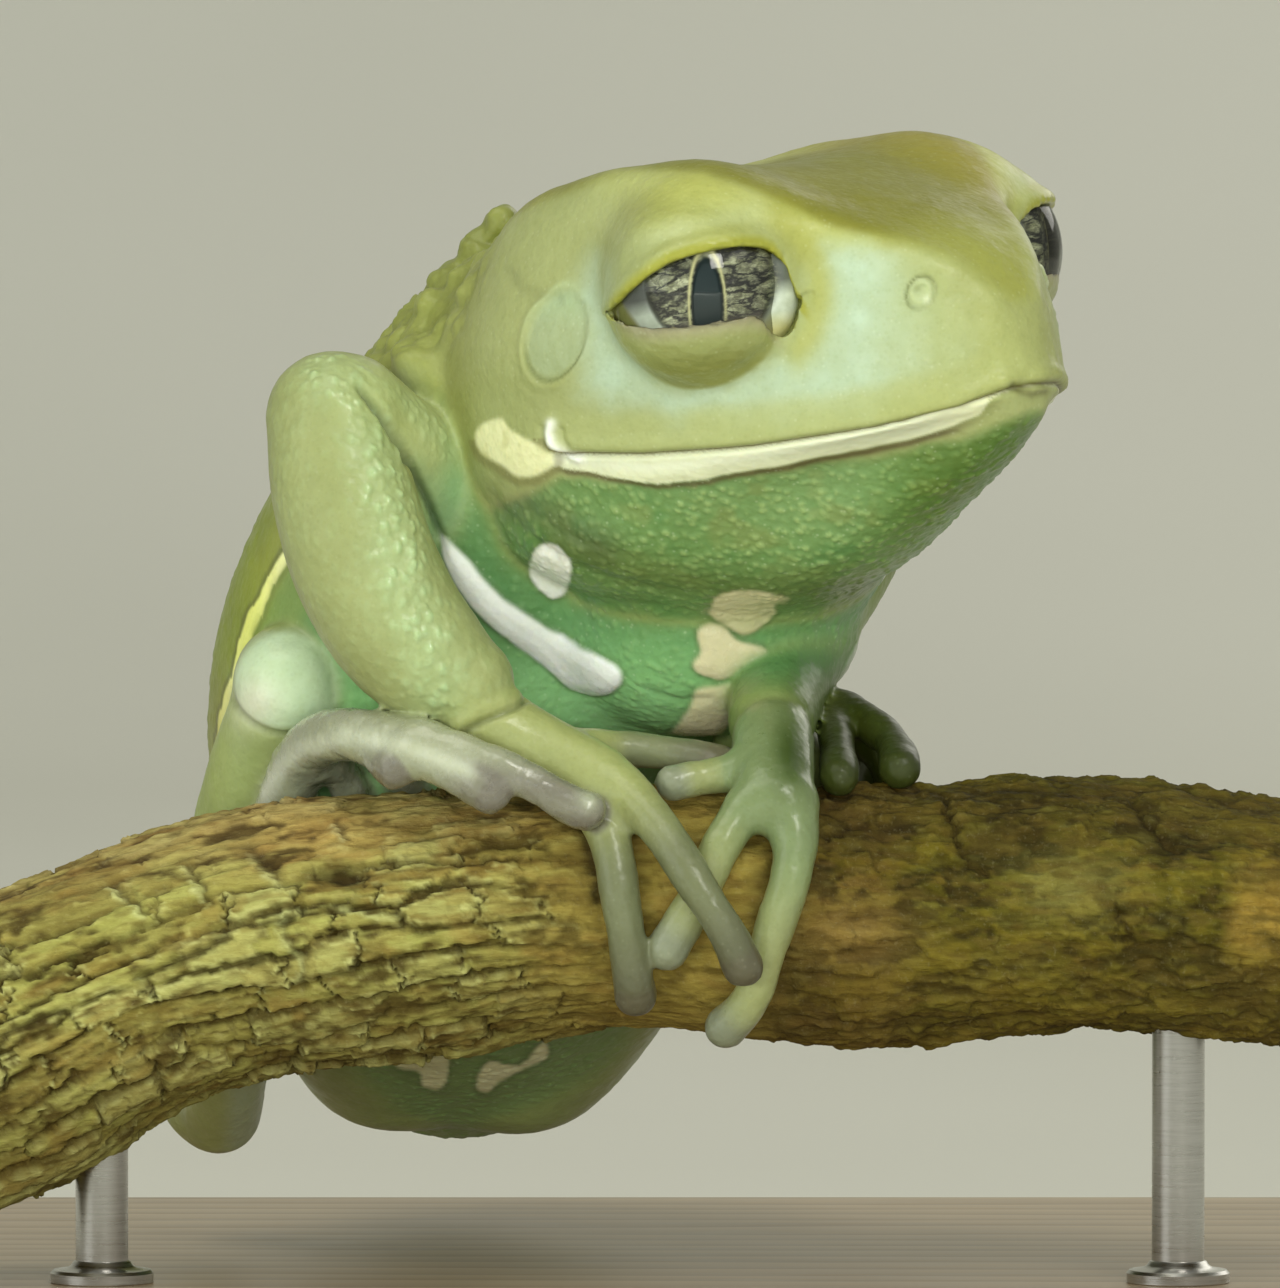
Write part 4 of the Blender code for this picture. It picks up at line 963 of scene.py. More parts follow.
# ear drum: a shallow dish with a low rim, creased below
ex, ey = (TU - 556.0 - 0.20 * (335.0 - TV)) / (31.0 - 7.0 * smooth(320.0, 275.0, TV)), (TV - 334.0) / 48.0
er = np.hypot(ex, ey)
w_ear = w_head * smooth(0.0, 0.25, twin_facing)
lift -= w_ear * 0.09 * smooth(1.02, 0.80, er)
lift += w_ear * 0.07 * bell(er - 1.10, 0.10) * smooth(-1.1, 0.1, ey + 0.2)
lift -= w_ear * 0.12 * bell(er - 0.97, 0.055) * smooth(0.0, 0.7, ey)

# nostril: a small raised ring round a pit, darkened below with painted shade
nr = np.hypot(TU - 921.0, (TV - 293.0)) / 22.0 * (1 + 0.10 * np.sin(2 * np.arctan2(TV - 293.0, TU - 921.0) + 0.6))
nside = ((TU - 921.0) * 0.7 + (TV - 293.0) * 0.7) / 15.0
w_nos = w_head * smooth(0.0, 0.2, twin_facing)
lift += w_nos * (0.12 * bell(nr - 0.46, 0.15) + 0.10 * smooth(0.62, 0.35, nr)) * (1 + 0.3 * nside)
lift -= w_nos * 0.13 * bell(np.hypot(TU - 918.0, TV - 290.0) / 22.0, 0.20)
lift -= w_nos * 0.10 * bell(nr - 0.74, 0.08) * smooth(1.2, -0.6, nside)

# snout's tip: the halves of the upper lip meet in a small notch
tip_n, _ = to_polyline(FU, FV, [(1012, 385), (1021, 391), (1034, 395), (1047, 392)])
tip_g = w_head * smooth(0.0, 0.2, facing)
lift -= tip_g * 0.10 * bell(tip_n, 4.5)
lift += tip_g * 0.20 * bell(np.hypot((FU - 1043.0) / 15.0, (FV - 378.0) / 16.0), 1.0)
lift += tip_g * 0.12 * bell(np.hypot((FU - 1003.0) / 16.0, (FV - 380.0) / 10.0), 1.0)

# brow: the ridge line is a rounded edge, with a soft hollow in front of and behind the eye
ridge, ridge_t = to_polyline(TU, TV, [(565, 196), (620, 184), (703, 186), (753, 202), (787, 219),
                                      (820, 235), (853, 245), (903, 252), (950, 262)])
w_brow = w_head * smooth(-0.2, 0.2, twin_facing + 0.2)
lift += w_brow * 0.22 * bell(ridge, 16.0) * smooth(0.0, 0.15, ridge_t) * (1 - 0.6 * ridge_t)
hollow = np.hypot((TU - 615.0) / 55.0, (TV - 262.0) / 22.0)
off_ball = np.minimum(np.linalg.norm(P - eye_frame(1)[0], axis=1), np.linalg.norm(P - eye_frame(-1)[0], axis=1))
lift -= w_brow * 0.06 * bell(hollow, 1.0) * smooth(4.5, 5.4, off_ball)
front_hollow = np.hypot((TU - 850.0) / 60.0, (TV - 330.0) / 60.0)
lift -= w_brow * 0.12 * bell(front_hollow, 1.0)

# fold of the throat against the chest, and its weaker companions
folds = [
    ([(484, 478), (500, 508), (530, 538), (565, 562), (610, 580), (660, 590), (712, 593)], 5.0, 0.15),
    ([(520, 500), (560, 532), (612, 552), (660, 566)], 5.0, 0.05),
    ([(600, 600), (660, 606), (700, 612)], 4.0, 0.08),
    ([(640, 690), (680, 700), (720, 694)], 4.0, 0.08),
    ([(566, 300), (520, 290), (500, 262)], 7.0, 0.10),
]
crease = np.zeros(n_pts)
for line, width, depth in folds:
    d, t = to_polyline(FU, FV, line)
    f = bell(d, width) * smooth(0.0, 0.12, t) * smooth(1.0, 0.8, t) * smooth(0.0, 0.25, facing)
    f = f * np.clip(w_head + w_trunk, 0, 1)
    lift -= depth * f
    crease = np.maximum(crease, f * depth / 0.28)

# crease round the lower lid
lid = np.zeros(n_pts)
lid_low_band = np.zeros(n_pts)
lid_rim = np.zeros(n_pts)
lid_shell = np.zeros(n_pts)
lid_wall = np.zeros(n_pts)
lid_edge = np.zeros(n_pts)
eye_ring = np.zeros(n_pts)
for side in (1, -1):
    c, out, ahead, up = eye_frame(side)
    v = P - c
    u1, v1, w1 = v @ ahead, v @ up, v @ out
    rad = np.linalg.norm(v, axis=1)
    hi_e, lo_e = lid_edges(u1)
    m = smooth(0.0, 0.8, w1) * smooth(5.6, 5.0, rad)
    lid_rim = np.maximum(lid_rim, m * smooth(0.85, 0.25, v1 - hi_e) * smooth(-0.5, -0.1, v1 - hi_e)
                         * smooth(-4.9, -3.8, u1) * smooth(5.0, 4.2, u1))
    shell = m * smooth(0.22, 0.05, np.abs(rad - LID_RADIUS)) * smooth(0.1, -0.15, v1 - lo_e)
    lid_shell = np.maximum(lid_shell, shell)
    lid_low_band = np.maximum(lid_low_band, m * smooth(-1.15, -0.25, v1 - lo_e) * (v1 < lo_e + 0.25)
                              * smooth(-4.4, -3.6, u1) * smooth(3.4, 2.6, u1))
    lift -= m * (v1 < lo_e + 0.2) * smooth(-1.6, -0.1, v1 - lo_e) * 0.18
    lift += m * 0.05 * fbm(P, (0.9, 0.9, 0.35), 2, 303) * smooth(0.2, -0.3, v1 - lo_e)
    lid_wall = np.maximum(lid_wall, smooth(5.2, 4.8, rad) * smooth(3.3, 3.6, u1) * smooth(0.9, 0.3, v1)
                          * smooth(-3.0, -2.6, v1) * smooth(-0.15, -0.45, N @ ahead) * (w1 > 0))
    lid_edge = np.maximum(lid_edge, m * smooth(-0.55, -0.05, v1 - lo_e) * (v1 < lo_e + 0.3)
                          * smooth(-3.4, -2.4, u1) * smooth(3.2, 2.4, u1))
    eye_ring = np.maximum(eye_ring, w_head * bell(np.hypot(u1 - 2.6, (v1 + 0.4) / 1.25) - 2.6, 0.75)
                          * smooth(2.8, 4.0, u1) * (w1 > -1.5))

# warty nape, behind the ears and over the shoulders
nape = np.clip(w_trunk + w_head * smooth(-4.0, -7.0, HX) * smooth(2.0, 4.0, HZ), 0, 1)
nape = nape * smooth(19.0, 22.0, P[:, 2]) * smooth(95.0, 120.0, np.abs(flank)) * smooth(0.42, 0.25, spine_t)
sel = nape > 0.02
f1, f2, own = cells(P[sel] + 0.4 * noise(P[sel], 1.6, 7)[:, None], (1.7, 1.5, 1.7), 91)
lump = np.zeros(n_pts)
lump[sel] = smooth(0.75, 0.10, f1) * (0.3 + 0.7 * own)
lift += nape * (lump - 0.35) * 0.55
sel = nape > 0.02
f1, f2, own = cells(P[sel], 0.75, 93)
lump2 = np.zeros(n_pts)
lump2[sel] = smooth(0.7, 0.15, f1) * own
lift += nape * lump2 * 0.14
# the near foot's skin is loose and knobbly
knob = (W["foot_right"] + 0.25 * W["tarsus_right"] + 0.5 * W["foot_left"] + 0.3 * W["hand_left"])
sel = knob > 0.02
f1, f2, own = cells(P[sel] + 0.2 * noise(P[sel], 0.8, 11)[:, None], (1.7, 1.4, 1.4), 95)
kn = np.zeros(n_pts)
kn[sel] = smooth(0.75, 0.10, f1) * (0.3 + 0.7 * own)
lift += knob * ((kn - 0.4) * 0.11 + 0.020 * fbm(P, 0.6, 2, 97))
back = w_trunk * smooth(92.0, 108.0, np.abs(flank))
sel = back > 0.02
f1, f2, own = cells(P[sel] + 0.2 * noise(P[sel], 0.8, 13)[:, None], 0.62, 99)
lift[sel] += back[sel] * smooth(0.7, 0.15, f1) * own * 0.05
# waxy grain: fine everywhere, larger beads on the throat, chest and outer forearm
lift += 0.014 * fbm(P, 0.50, 2, 31)
lift += 0.020 * fbm(P, 1.1, 2, 35)
lift += 0.035 * fbm(P, 3.0, 2, 33) * (1 - w_head * 0.6)

# pale patches on the breast: smooth, swollen and rounded
pale = np.zeros(n_pts)
for outline, rise, plan in (
        ([(442, 537), (457, 550), (490, 583), (510, 603), (543, 623), (566, 638), (601, 658), (618, 669),
          (622, 678), (616, 688), (601, 694), (570, 687), (547, 667), (528, 650), (501, 633),
          (478, 612), (462, 592), (450, 571), (443, 552)], 0.36, "twin"),
        ([(531, 560), (538, 547), (552, 544), (564, 556), (570, 575), (566, 592), (553, 598),
          (540, 588), (531, 575)], 0.22, "twin"),
        ([(710, 610), (720, 596), (739, 592), (774, 594), (789, 600), (774, 606), (774, 615), (758, 627),
          (743, 633), (724, 625), (712, 615)], 0.18, "front"),
        ([(697, 631), (710, 623), (724, 627), (735, 638), (762, 646), (766, 654), (751, 663), (728, 677),
          (716, 678), (697, 671), (693, 662), (701, 650)], 0.18, "front"),
        ([(697, 687), (716, 684), (739, 687), (735, 704), (728, 723), (716, 742), (705, 746), (674, 742),
          (651, 743), (674, 731), (685, 715), (693, 700)], 0.15, "front")):
    if plan == "twin":
        d, gate = to_outline(CU, CV, outline), w_trunk * (np.abs(flank) < 120)
    else:
        d, gate = to_outline(FU, FV, outline), w_trunk * smooth(0.0, 0.2, facing) * smooth(7.5, 5.0, P[:, 1])
    lift += gate * np.sqrt(np.clip((2.0 - d) / 12.0, 0, 1)) * rise
    pale = np.maximum(pale, gate * smooth(3.0, -3.0, d))

# folds of the near arm: forearm against upper arm, and the sleeve of skin at the wrist
w_arm = np.clip(W["forearm_right"] + W["upper_arm_right"], 0, 1) * smooth(0.0, 0.25, facing)
arm_fold, af_t = to_polyline(FU, FV, [(350, 376), (357, 384), (374, 404), (390, 426), (404, 449), (415, 472),
                                      (429, 504), (440, 534), (447, 556)])
arm_fold = w_arm * bell(arm_fold, 4.0) * smooth(0.0, 0.15, af_t)
lift -= 0.48 * arm_fold
puff, _ = to_polyline(FU, FV, [(330, 392), (360, 430), (384, 480), (404, 530), (418, 570)])
lift += 0.16 * w_arm * bell(puff, 15.0)
w_wrist = np.clip(W["forearm_right"] + W["hand_right"], 0, 1) * smooth(0.0, 0.25, facing)
wrist_fold = w_wrist * bell(to_polyline(FU, FV, [(455, 742), (468, 730), (482, 722), (500, 714), (518, 706),
                                                 (529, 697)])[0], 3.6)
lift -= 0.24 * wrist_fold
lift += 0.16 * w_wrist * bell(to_polyline(FU, FV, [(456, 728), (476, 710), (500, 700), (520, 690)])[0], 8.0)
# knee: a round knob set off by a crease
kr = np.hypot((FU - 290.0) / 58.0, (FV - 681.0) / 50.0)
w_knee = (W["shank_right"] + W["thigh_right"]) * smooth(0.0, 0.3, facing)
knee_fold = w_knee * bell(kr - 1.08, 0.07) * smooth(-30.0, 10.0, FV - 655.0 + 0.4 * (FU - 290.0))
lift -= 0.20 * knee_fold
lift += 0.14 * w_knee * smooth(1.0, 0.4, kr)

# =============================================================== skin: bead masks
throat = w_head * smooth(-0.9, -1.6, dz + 0.25 * wob[:, 0])
chest_front = w_trunk * smooth(80.0, 60.0, np.abs(flank))
arm_line, arm_t = to_polyline(FU, FV, [(330, 372), (352, 380), (365, 392), (377, 437), (387, 487),
                                       (393, 537), (403, 587), (423, 637), (437, 692)])
w_fore = W["forearm_right"]
arm_beads = w_fore * smooth(0.1, 0.35, facing) * (bell(arm_line - 6.0, 24.0) + 0.25)
upper_line, _ = to_polyline(FU, FV, [(360, 372), (395, 392), (430, 425), (452, 448)])
arm_beads = np.maximum(arm_beads, W["upper_arm_right"] * smooth(0.1, 0.3, facing) * bell(upper_line, 14.0) * 0.7)
mirror_fore = W["forearm_left"] * 0.5
bead_mask = np.clip(throat * 0.9 + chest_front * 0.8 + arm_beads + mirror_fore * 0.6, 0, 1) * (1 - 0.95 * pale)
beads = np.zeros(n_pts)
sel = bead_mask > 0.02
f1, f2, own = cells(P[sel] + 0.14 * noise(P[sel], 0.6, 3)[:, None], 0.46, 41)
beads[sel] = smooth(0.66, 0.16, f1) * (0.35 + 0.65 * own)
lift += bead_mask * (beads - 0.35) * 0.095
cheek = w_head * smooth(0.0, 0.3, twin_facing) * bell((TU - 935.0) / 55.0, 1.0) * bell((TV - 350.0) / 45.0, 1.0)
sel = cheek > 0.05
f1, f2, own = cells(P[sel] + 0.2 * noise(P[sel], 0.8, 15)[:, None], 0.50, 101)
pimple = np.zeros(n_pts)
pimple[sel] = smooth(0.5, 0.1, f1) * smooth(0.35, 0.8, own)
lift += cheek * pimple * 0.07
arm_b = np.zeros(n_pts)
sel = arm_beads > 0.02
f1, f2, own = cells(P[sel] + 0.15 * noise(P[sel], 0.8, 5)[:, None], (0.46, 0.46, 0.58), 47)
arm_b[sel] = smooth(0.68, 0.18, f1) * smooth(0.10, 0.65, own)
lift += arm_beads * arm_b * 0.085

P2 = P + N * lift[:, None]
skin.data.vertices.foreach_set("co", world(P2).astype(np.float32).ravel())
skin.data.update()


# =============================================================== skin: colours
def rgb(r, g, b):
    c = np.array([r, g, b]) / 255.0
    return np.where(c <= 0.04045, c / 12.92, ((c + 0.055) / 1.055) ** 2.4)


TONE = np.tile(rgb(168, 176, 104), (n_pts, 1))


def lay(colour, mask):
    global TONE
    m = np.clip(mask, 0, 1)[:, None]
    TONE = TONE * (1 - m) + rgb(*colour) * m


def shade(mask, factor):
    """Darken (factor < 1) or lighten where the mask is."""
    global TONE
    m = np.clip(mask, 0, 1)[:, None]
    TONE = TONE * (1 - m + m * factor)


def patch(u, v, outline, soft=3.0, wander=3.0):
    d = to_outline(u + wander * wob[:, 0], v + wander * wob[:, 1], outline)
    return smooth(soft, -soft, d), d


big = fbm(P, 6.0, 2, 61)
mid = fbm(P, 1.8, 3, 67)

# --- trunk: olive back, green belly, with a pale, dark-edged line between them
dorsal = smooth(81.0, 94.0, np.abs(flank) + 4.0 * mid)
lay((146, 153, 76), w_trunk * dorsal)
lay((126, 139, 66), w_trunk * dorsal * smooth(0.1, 0.8, big + 0.3) * 0.6)
ventral = w_trunk * (1 - dorsal)
lay((98, 146, 90), ventral)
lay((110, 154, 96), ventral * smooth(-0.1, 0.5, mid) * 0.6)
# painted light: the lower belly is lightened where it faces down into shade
lay((140, 196, 126), ventral * smooth(13.5, 9.0, P[:, 2]) * smooth(2.0, 6.0, P[:, 2]) * 0.85)
lay((128, 146, 90), ventral * smooth(0.52, 0.72, spine_t) * 0.8)

# --- limbs; those of the far side, all but the thighs, get darker tones than the near ones, as painted shade
for tag in ("right", "left"):
    near = tag == "right"
    lay((170, 180, 124) if near else (140, 154, 92), W["upper_arm_" + tag])
    lay((156, 163, 106) if near else (132, 148, 84), W["forearm_" + tag])
    lay((162, 169, 110) if near else (124, 140, 96), W["hand_" + tag])
    lay((140, 152, 92), W["thigh_" + tag])
    lay((162, 176, 112) if near else (118, 132, 78), W["shank_" + tag])
    lay((166, 174, 138) if near else (84, 94, 46), W["tarsus_" + tag])
    lay((156, 160, 134) if near else (60, 68, 18), W["foot_" + tag])
# inner side of the near upper arm turns green towards the shoulder
inner, _ = to_polyline(FU, FV, [(440, 470), (500, 545)])
lay((140, 184, 134), W["upper_arm_right"] * smooth(415, 475, FU + 0.35 * (FV - 480) + 10 * wob[:, 0]))
lay((138, 166, 118), W["upper_arm_right"] * bell(to_polyline(FU, FV, [(415, 470), (450, 520)])[0], 16) * 0.6)

# --- knee: pale, waxy knob
kd = np.linalg.norm(P - np.array(JOINTS["right"]["knee"]), axis=1)
lay((206, 228, 192), w_knee * smooth(1.12, 0.85, kr + 0.08 * wob[:, 0]) * 0.85)
# painted highlight, low on the knee's left side
lay((226, 226, 206), bell(np.hypot(FU - 255, FV - 702), 24.0) * (W["shank_right"] + W["thigh_right"])
    * smooth(0.0, 0.5, facing) * 0.8)
lay((150, 176, 136), (W["shank_right"] + W["thigh_right"])
    * bell(to_polyline(FU, FV, [(330, 650), (346, 690), (344, 720)])[0], 14) * 0.6)

# --- digits: from the palm's colour to grey-mauve tips
for name, q in DIGITS:
    s = np.full(n_pts, -1.0)
    bestd = np.full(n_pts, 0.9)
    cand = W[name] > 0.02
    pc = P[cand]
    if len(pc) == 0:
        continue
    bd = np.full(len(pc), 9.0)
    bt = np.zeros(len(pc))
    for i in range(len(q) - 1):
        a, b = q[i, :3], q[i + 1, :3]
        t = np.clip(((pc - a) @ (b - a)) / ((b - a) @ (b - a)), 0, 1)
        d = np.linalg.norm(pc - a - t[:, None] * (b - a), axis=1) - q[i, 3]
        hit = d < bd
        bd = np.where(hit, d, bd)
        bt = np.where(hit, (i + t) / (len(q) - 1), bt)
    m = np.zeros(n_pts)
    m[cand] = smooth(0.45, 0.12, bd)
    tt = np.zeros(n_pts)
    tt[cand] = bt
    if name.startswith("hand_right"):
        lay((124, 130, 96), m * smooth(0.10, 0.42, tt))
        lay((108, 110, 86), m * smooth(0.50, 0.85, tt))
        lay((100, 95, 76), m * smooth(0.84, 0.97, tt) * 0.8)
    elif name.startswith("hand_left"):
        lay((152, 158, 106), m * smooth(0.2, 0.6, tt))
        lay((134, 140, 116), m * smooth(0.7, 0.98, tt))
    elif name.startswith("foot_right"):
        lay((124, 122, 106), m * smooth(0.2, 0.7, tt))
        lay((114, 110, 98), m * smooth(0.8, 1.0, tt))
    else:
        # far foot's digits: near-black green, painted shade
        lay((52, 60, 22), m * smooth(0.2, 0.7, tt) * 0.8)

# near foot: a paler crest along its upper side, partly its own colour and partly a painted highlight
crest, _ = to_polyline(FU, FV, [(262, 790), (300, 752), (345, 735), (400, 745), (470, 770)])
lay((196, 201, 178), W["foot_right"] * bell(crest, 10.0) * smooth(0.0, 0.4, facing) * 0.8)
# painted light: the near tarsus is paler where it faces up
lay((168, 182, 134), W["tarsus_right"] * smooth(0.2, 0.7, N[:, 2]) * 0.5)
lay((116, 112, 102), W["foot_right"] * bell(to_polyline(FU, FV, [(480, 768), (530, 785), (585, 798)])[0], 9) * 0.6)

# --- head
olive = (162, 169, 112)
lay(olive, w_head)
right_of = smooth(-14, 14, TV * 0 + (ridge * 0))
above = to_polygon(TU, TV, [(500, 215), (540, 192), (620, 176), (703, 180), (753, 198), (787, 214), (820, 230),
                            (853, 240), (903, 246), (960, 262), (1010, 300), (1060, 300), (1060, 100),
                            (500, 100)])
crown = np.maximum(smooth(10.0, -14.0, above), smooth(0.55, 0.9, Nh[:, 2]) * smooth(7.5, 9.5, HZ + 0.25 * HX))
lay((134, 135, 58), w_head * crown)
lay((146, 142, 66), w_head * crown * smooth(-0.2, 0.6, big) * 0.7)
lay((164, 152, 84), w_head * crown * smooth(2.0, 7.0, HY) * 0.55)
# paler band on the brow under the ridge: partly the brow's own colour and partly a painted highlight along the ridge
lay((190, 196, 128), w_head * bell(ridge, 24.0) * smooth(0.0, 0.2, ridge_t) * smooth(1.0, 0.6, ridge_t)
    * (1 - smooth(0.0, -14.0, above)) * 0.8)
# painted light: the brow just above the eye is lightened where the brow's fold shades it
over = w_head * bell((TU - 690.0) / 70.0, 1.0) * bell((TV - 226.0) / 20.0, 1.0) * smooth(0.0, 0.25, twin_facing)
lay((198, 205, 146), over * 0.6)
# mint cheek
mint_outline = [(823, 255), (887, 256), (930, 268), (958, 305), (972, 350), (955, 385), (870, 402), (770, 412),
                (670, 414), (600, 402), (578, 385), (590, 337), (582, 290), (600, 262), (611, 300),
                (640, 362), (703, 386), (770, 364), (800, 338), (815, 300)]
mint, mint_d = patch(TU, TV, mint_outline, 24.0, 12.0)
mint = mint * (0.82 + 0.30 * mid)
mint *= w_head * smooth(-0.1, 0.25, twin_facing)
lay((184, 206, 184), mint * 0.95)
lay((198, 220, 196), mint * smooth(0.0, 0.5, mid) * 0.6)
# pale dots on the cheek's pimples: painted glints
lay((222, 236, 214), cheek * pimple * 0.6)
# lip band under the mint, and the snout's end
lay((172, 180, 120), w_head * smooth(0.0, 0.3, dz) * smooth(2.4, 1.4, dz) * smooth(-1, 1, HX) * 0.7)
lay((166, 172, 106), w_head * smooth(14.5, 18.0, HX) * (dz > -0.1) * 0.75)
# ear drum
lay((164, 178, 138), w_ear * smooth(1.05, 0.75, er) * 0.8)
lay((176, 198, 158), w_ear * smooth(1.3, 0.6, er) * smooth(0.0, -0.9, ey) * 0.7)
lay((158, 171, 128), w_ear * smooth(0.0, 0.6, ey) * smooth(1.0, 0.8, er) * 0.6)
# painted shade in the crease along the ear drum's lower edge
lay((112, 122, 68), w_ear * bell(er - 0.98, 0.045) * smooth(-0.1, 0.6, ey) * 0.7)
lay((190, 206, 158), w_ear * bell(er - 1.06, 0.06) * smooth(0.3, -0.6, ey) * smooth(1.0, 0.0, ex) * 0.4)
# nape darker behind the ear
lay((144, 149, 78), w_head * smooth(-3.0, -7.0, HX) * smooth(0.5, 2.0, dz) * 0.8)
lay((124, 130, 60), nape * 0.55)
lay((160, 166, 92), nape * lump * 0.5)
# nostril: a paler disc, painted shade in its pit and in the groove on its upper left, and a painted highlight below
# right of its centre
lay((184, 196, 150), w_nos * smooth(0.70, 0.55, nr) * 0.7)
lay((112, 120, 66), w_nos * bell(nr - 0.72, 0.08) * 0.8 * smooth(1.4, -0.6, nside))
lay((150, 160, 112), w_nos * bell(np.hypot(TU - 917.0, TV - 289.0) / 22.0, 0.2) * 0.7)
lay((222, 230, 198), w_nos * bell(np.hypot(TU - 927.0, TV - 300.0) / 22.0, 0.16) * 0.7)
# lids
lay((156, 162, 100), lid_shell)
# painted shade: the lid's skin darkens towards the crease below the eye
lay((124, 128, 58), lid_shell * smooth(-2.0, -3.6, sum((P - eye_frame(s)[0]) @ eye_frame(s)[3] * (np.sign(HY) == s)
                                                  for s in (1, -1))) * 0.7)
lay((164, 156, 128), lid_low_band * 0.85)
lay((108, 98, 78), lid_edge * 0.8)
lay((170, 172, 84), eye_ring * 0.75)
lay((176, 180, 110), lid_wall)
lay((158, 157, 32), lid_rim * 0.85)
# painted highlight along the top of the upper lid's rim
lay((186, 188, 78), lid_rim * smooth(0.3, 0.9, N[:, 2]) * 0.4)

# throat and chest greens
green = throat
lay((112, 148, 86), green)
lay((90, 136, 76), green * smooth(0.1, -0.5, mid) * 0.7)
lay((134, 164, 106), green * smooth(-2.6, -1.2, dz) * 0.35)
lay((140, 172, 112), green * bell((TU - 800.0) / 90.0, 1.0) * bell((TV - 500.0) / 40.0, 1.0) * 0.5)
# painted shade: the throat darkens towards the chin
lay((92, 124, 56), green * smooth(880.0, 960.0, TU) * 0.6)
speck_zone = np.clip(bell(np.hypot((FU - 760) / 190.0, (FV - 520) / 62.0), 1.0), 0, 1)
lay((146, 146, 82), green * smooth(0.1, 0.6, fbm(P, 1.3, 2, 77)) * (0.25 + 0.75 * speck_zone) * 0.32)
lay((172, 196, 128), green * smooth(0.15, 0.85, beads) * (0.30 + 0.70 * speck_zone) * 0.55)
lay((136, 176, 116), chest_front * smooth(0.4, 0.95, beads) * 0.30)
# painted shadow: a dark band under the jaw, along the throat's fold
lay((96, 104, 50), green * bell(to_polyline(FU, FV, [(560, 545), (640, 575), (760, 590), (860, 590)])[0], 20) * 0.5)

# lower lip: cream stripe with a thin dark lower edge, from the mouth's corner to near the tip
w_x = (-2.0, -0.5, 0.5, 1.8, 4.6, 7.0, 8.5, 11.1, 14.2, 17.0, 18.2, 18.9, 19.6)
w_t = (0.2, 0.55, 0.75, 0.85, 1.42, 1.34, 1.10, 0.92, 0.80, 0.64, 0.46, 0.18, 0.05)
stripe_w = np.interp(HX, w_x, w_t) + 0.07 * wob[:, 0]
stripe = w_head * smooth(0.03, -0.04, dz) * smooth(-0.06, 0.06, dz + stripe_w) * smooth(-0.9, -0.1, HX)
edge = w_head * bell(dz + stripe_w + 0.13, 0.15) * smooth(-0.6, 0.6, HX) * smooth(18.5, 16.0, HX)
lay((86, 74, 46), edge * 0.85)
lay((222, 226, 188), stripe)
lay((236, 240, 214), stripe * bell(dz + stripe_w * 0.45, 0.3) * 0.7)
lay((224, 224, 172), stripe * smooth(15.5, 18.5, HX) * 0.5)
lay((246, 248, 236), w_hook * bell(hook, 5.2))
# mouth's line, and painted shade in the notch at the snout's tip
lay((86, 78, 40), tip_g * bell(tip_n, 4.0) * 0.55)
lay((92, 84, 34), on_mouth * bell(dz - 0.0, 0.085) * 0.95)
# cream patch behind the corner
corner, corner_d = patch(TU, TV, [(476, 434), (488, 420), (500, 417), (511, 431), (536, 444), (551, 456), (552, 466),
                                  (537, 475), (520, 477), (500, 465), (480, 452)], 3.0, 3.0)
corner = corner * smooth(-0.2, 0.1, twin_facing) * np.clip(w_head + w_trunk, 0, 1) * (HX > -10)
lay((112, 100, 58), smooth(9.0, 2.0, np.abs(corner_d - 3.0)) * smooth(-0.2, 0.1, twin_facing)
    * np.clip(w_head + w_trunk, 0, 1) * (HX > -10) * (TV > 440) * 0.5)
lay((236, 236, 186), corner)
lay((190, 188, 120), corner * smooth(0.15, 0.6, fbm(P, 0.9, 3, 311)) * 0.5)

# --- chest markings
def marking(outline, colour, edge_colour, edge_w=3.5, soft=2.6, wander=2.6, u=CU, v=CV, gate=None):
    m, d = patch(u, v, outline, soft, wander)
    g = np.clip(w_trunk + w_head + W["upper_arm_right"] * 0.6, 0, 1) * (np.abs(flank) < 120) if gate is None else gate
    if u is FU and gate is None:
        g = g * smooth(7.5, 5.0, P[:, 1])
    lay(edge_colour, smooth(edge_w * 2.0, edge_w * 0.5, np.abs(d)) * g * 0.35)
    lay(colour, m * g)
    return m * g


pect = marking([(442, 537), (457, 550), (490, 583), (510, 603), (543, 623), (566, 638), (601, 658), (618, 669),
                (622, 678), (616, 688), (601, 694), (570, 687), (547, 667), (528, 650), (501, 633), (478, 612),
                (462, 592), (450, 571), (443, 552)], (250, 252, 246), (80, 104, 60))

marking([(531, 560), (538, 547), (552, 544), (564, 556), (570, 575), (566, 592), (553, 598), (540, 588),
         (531, 575)], (252, 252, 244), (84, 100, 52))
marking([(710, 610), (720, 596), (739, 592), (774, 594), (789, 600), (774, 606), (774, 615), (758, 627),
         (743, 633), (724, 625), (712, 615)], (214, 206, 164), (88, 96, 52), u=FU, v=FV)
marking([(697, 631), (710, 623), (724, 627), (735, 638), (762, 646), (766, 654), (751, 663), (728, 677),
         (716, 678), (697, 671), (693, 662), (701, 650)], (220, 212, 172), (84, 96, 52), u=FU, v=FV)
marking([(697, 687), (716, 684), (739, 687), (735, 704), (728, 723), (716, 742), (705, 746), (674, 742),
         (651, 743), (674, 731), (685, 715), (693, 700)], (226, 220, 176), (80, 96, 52), u=FU, v=FV)
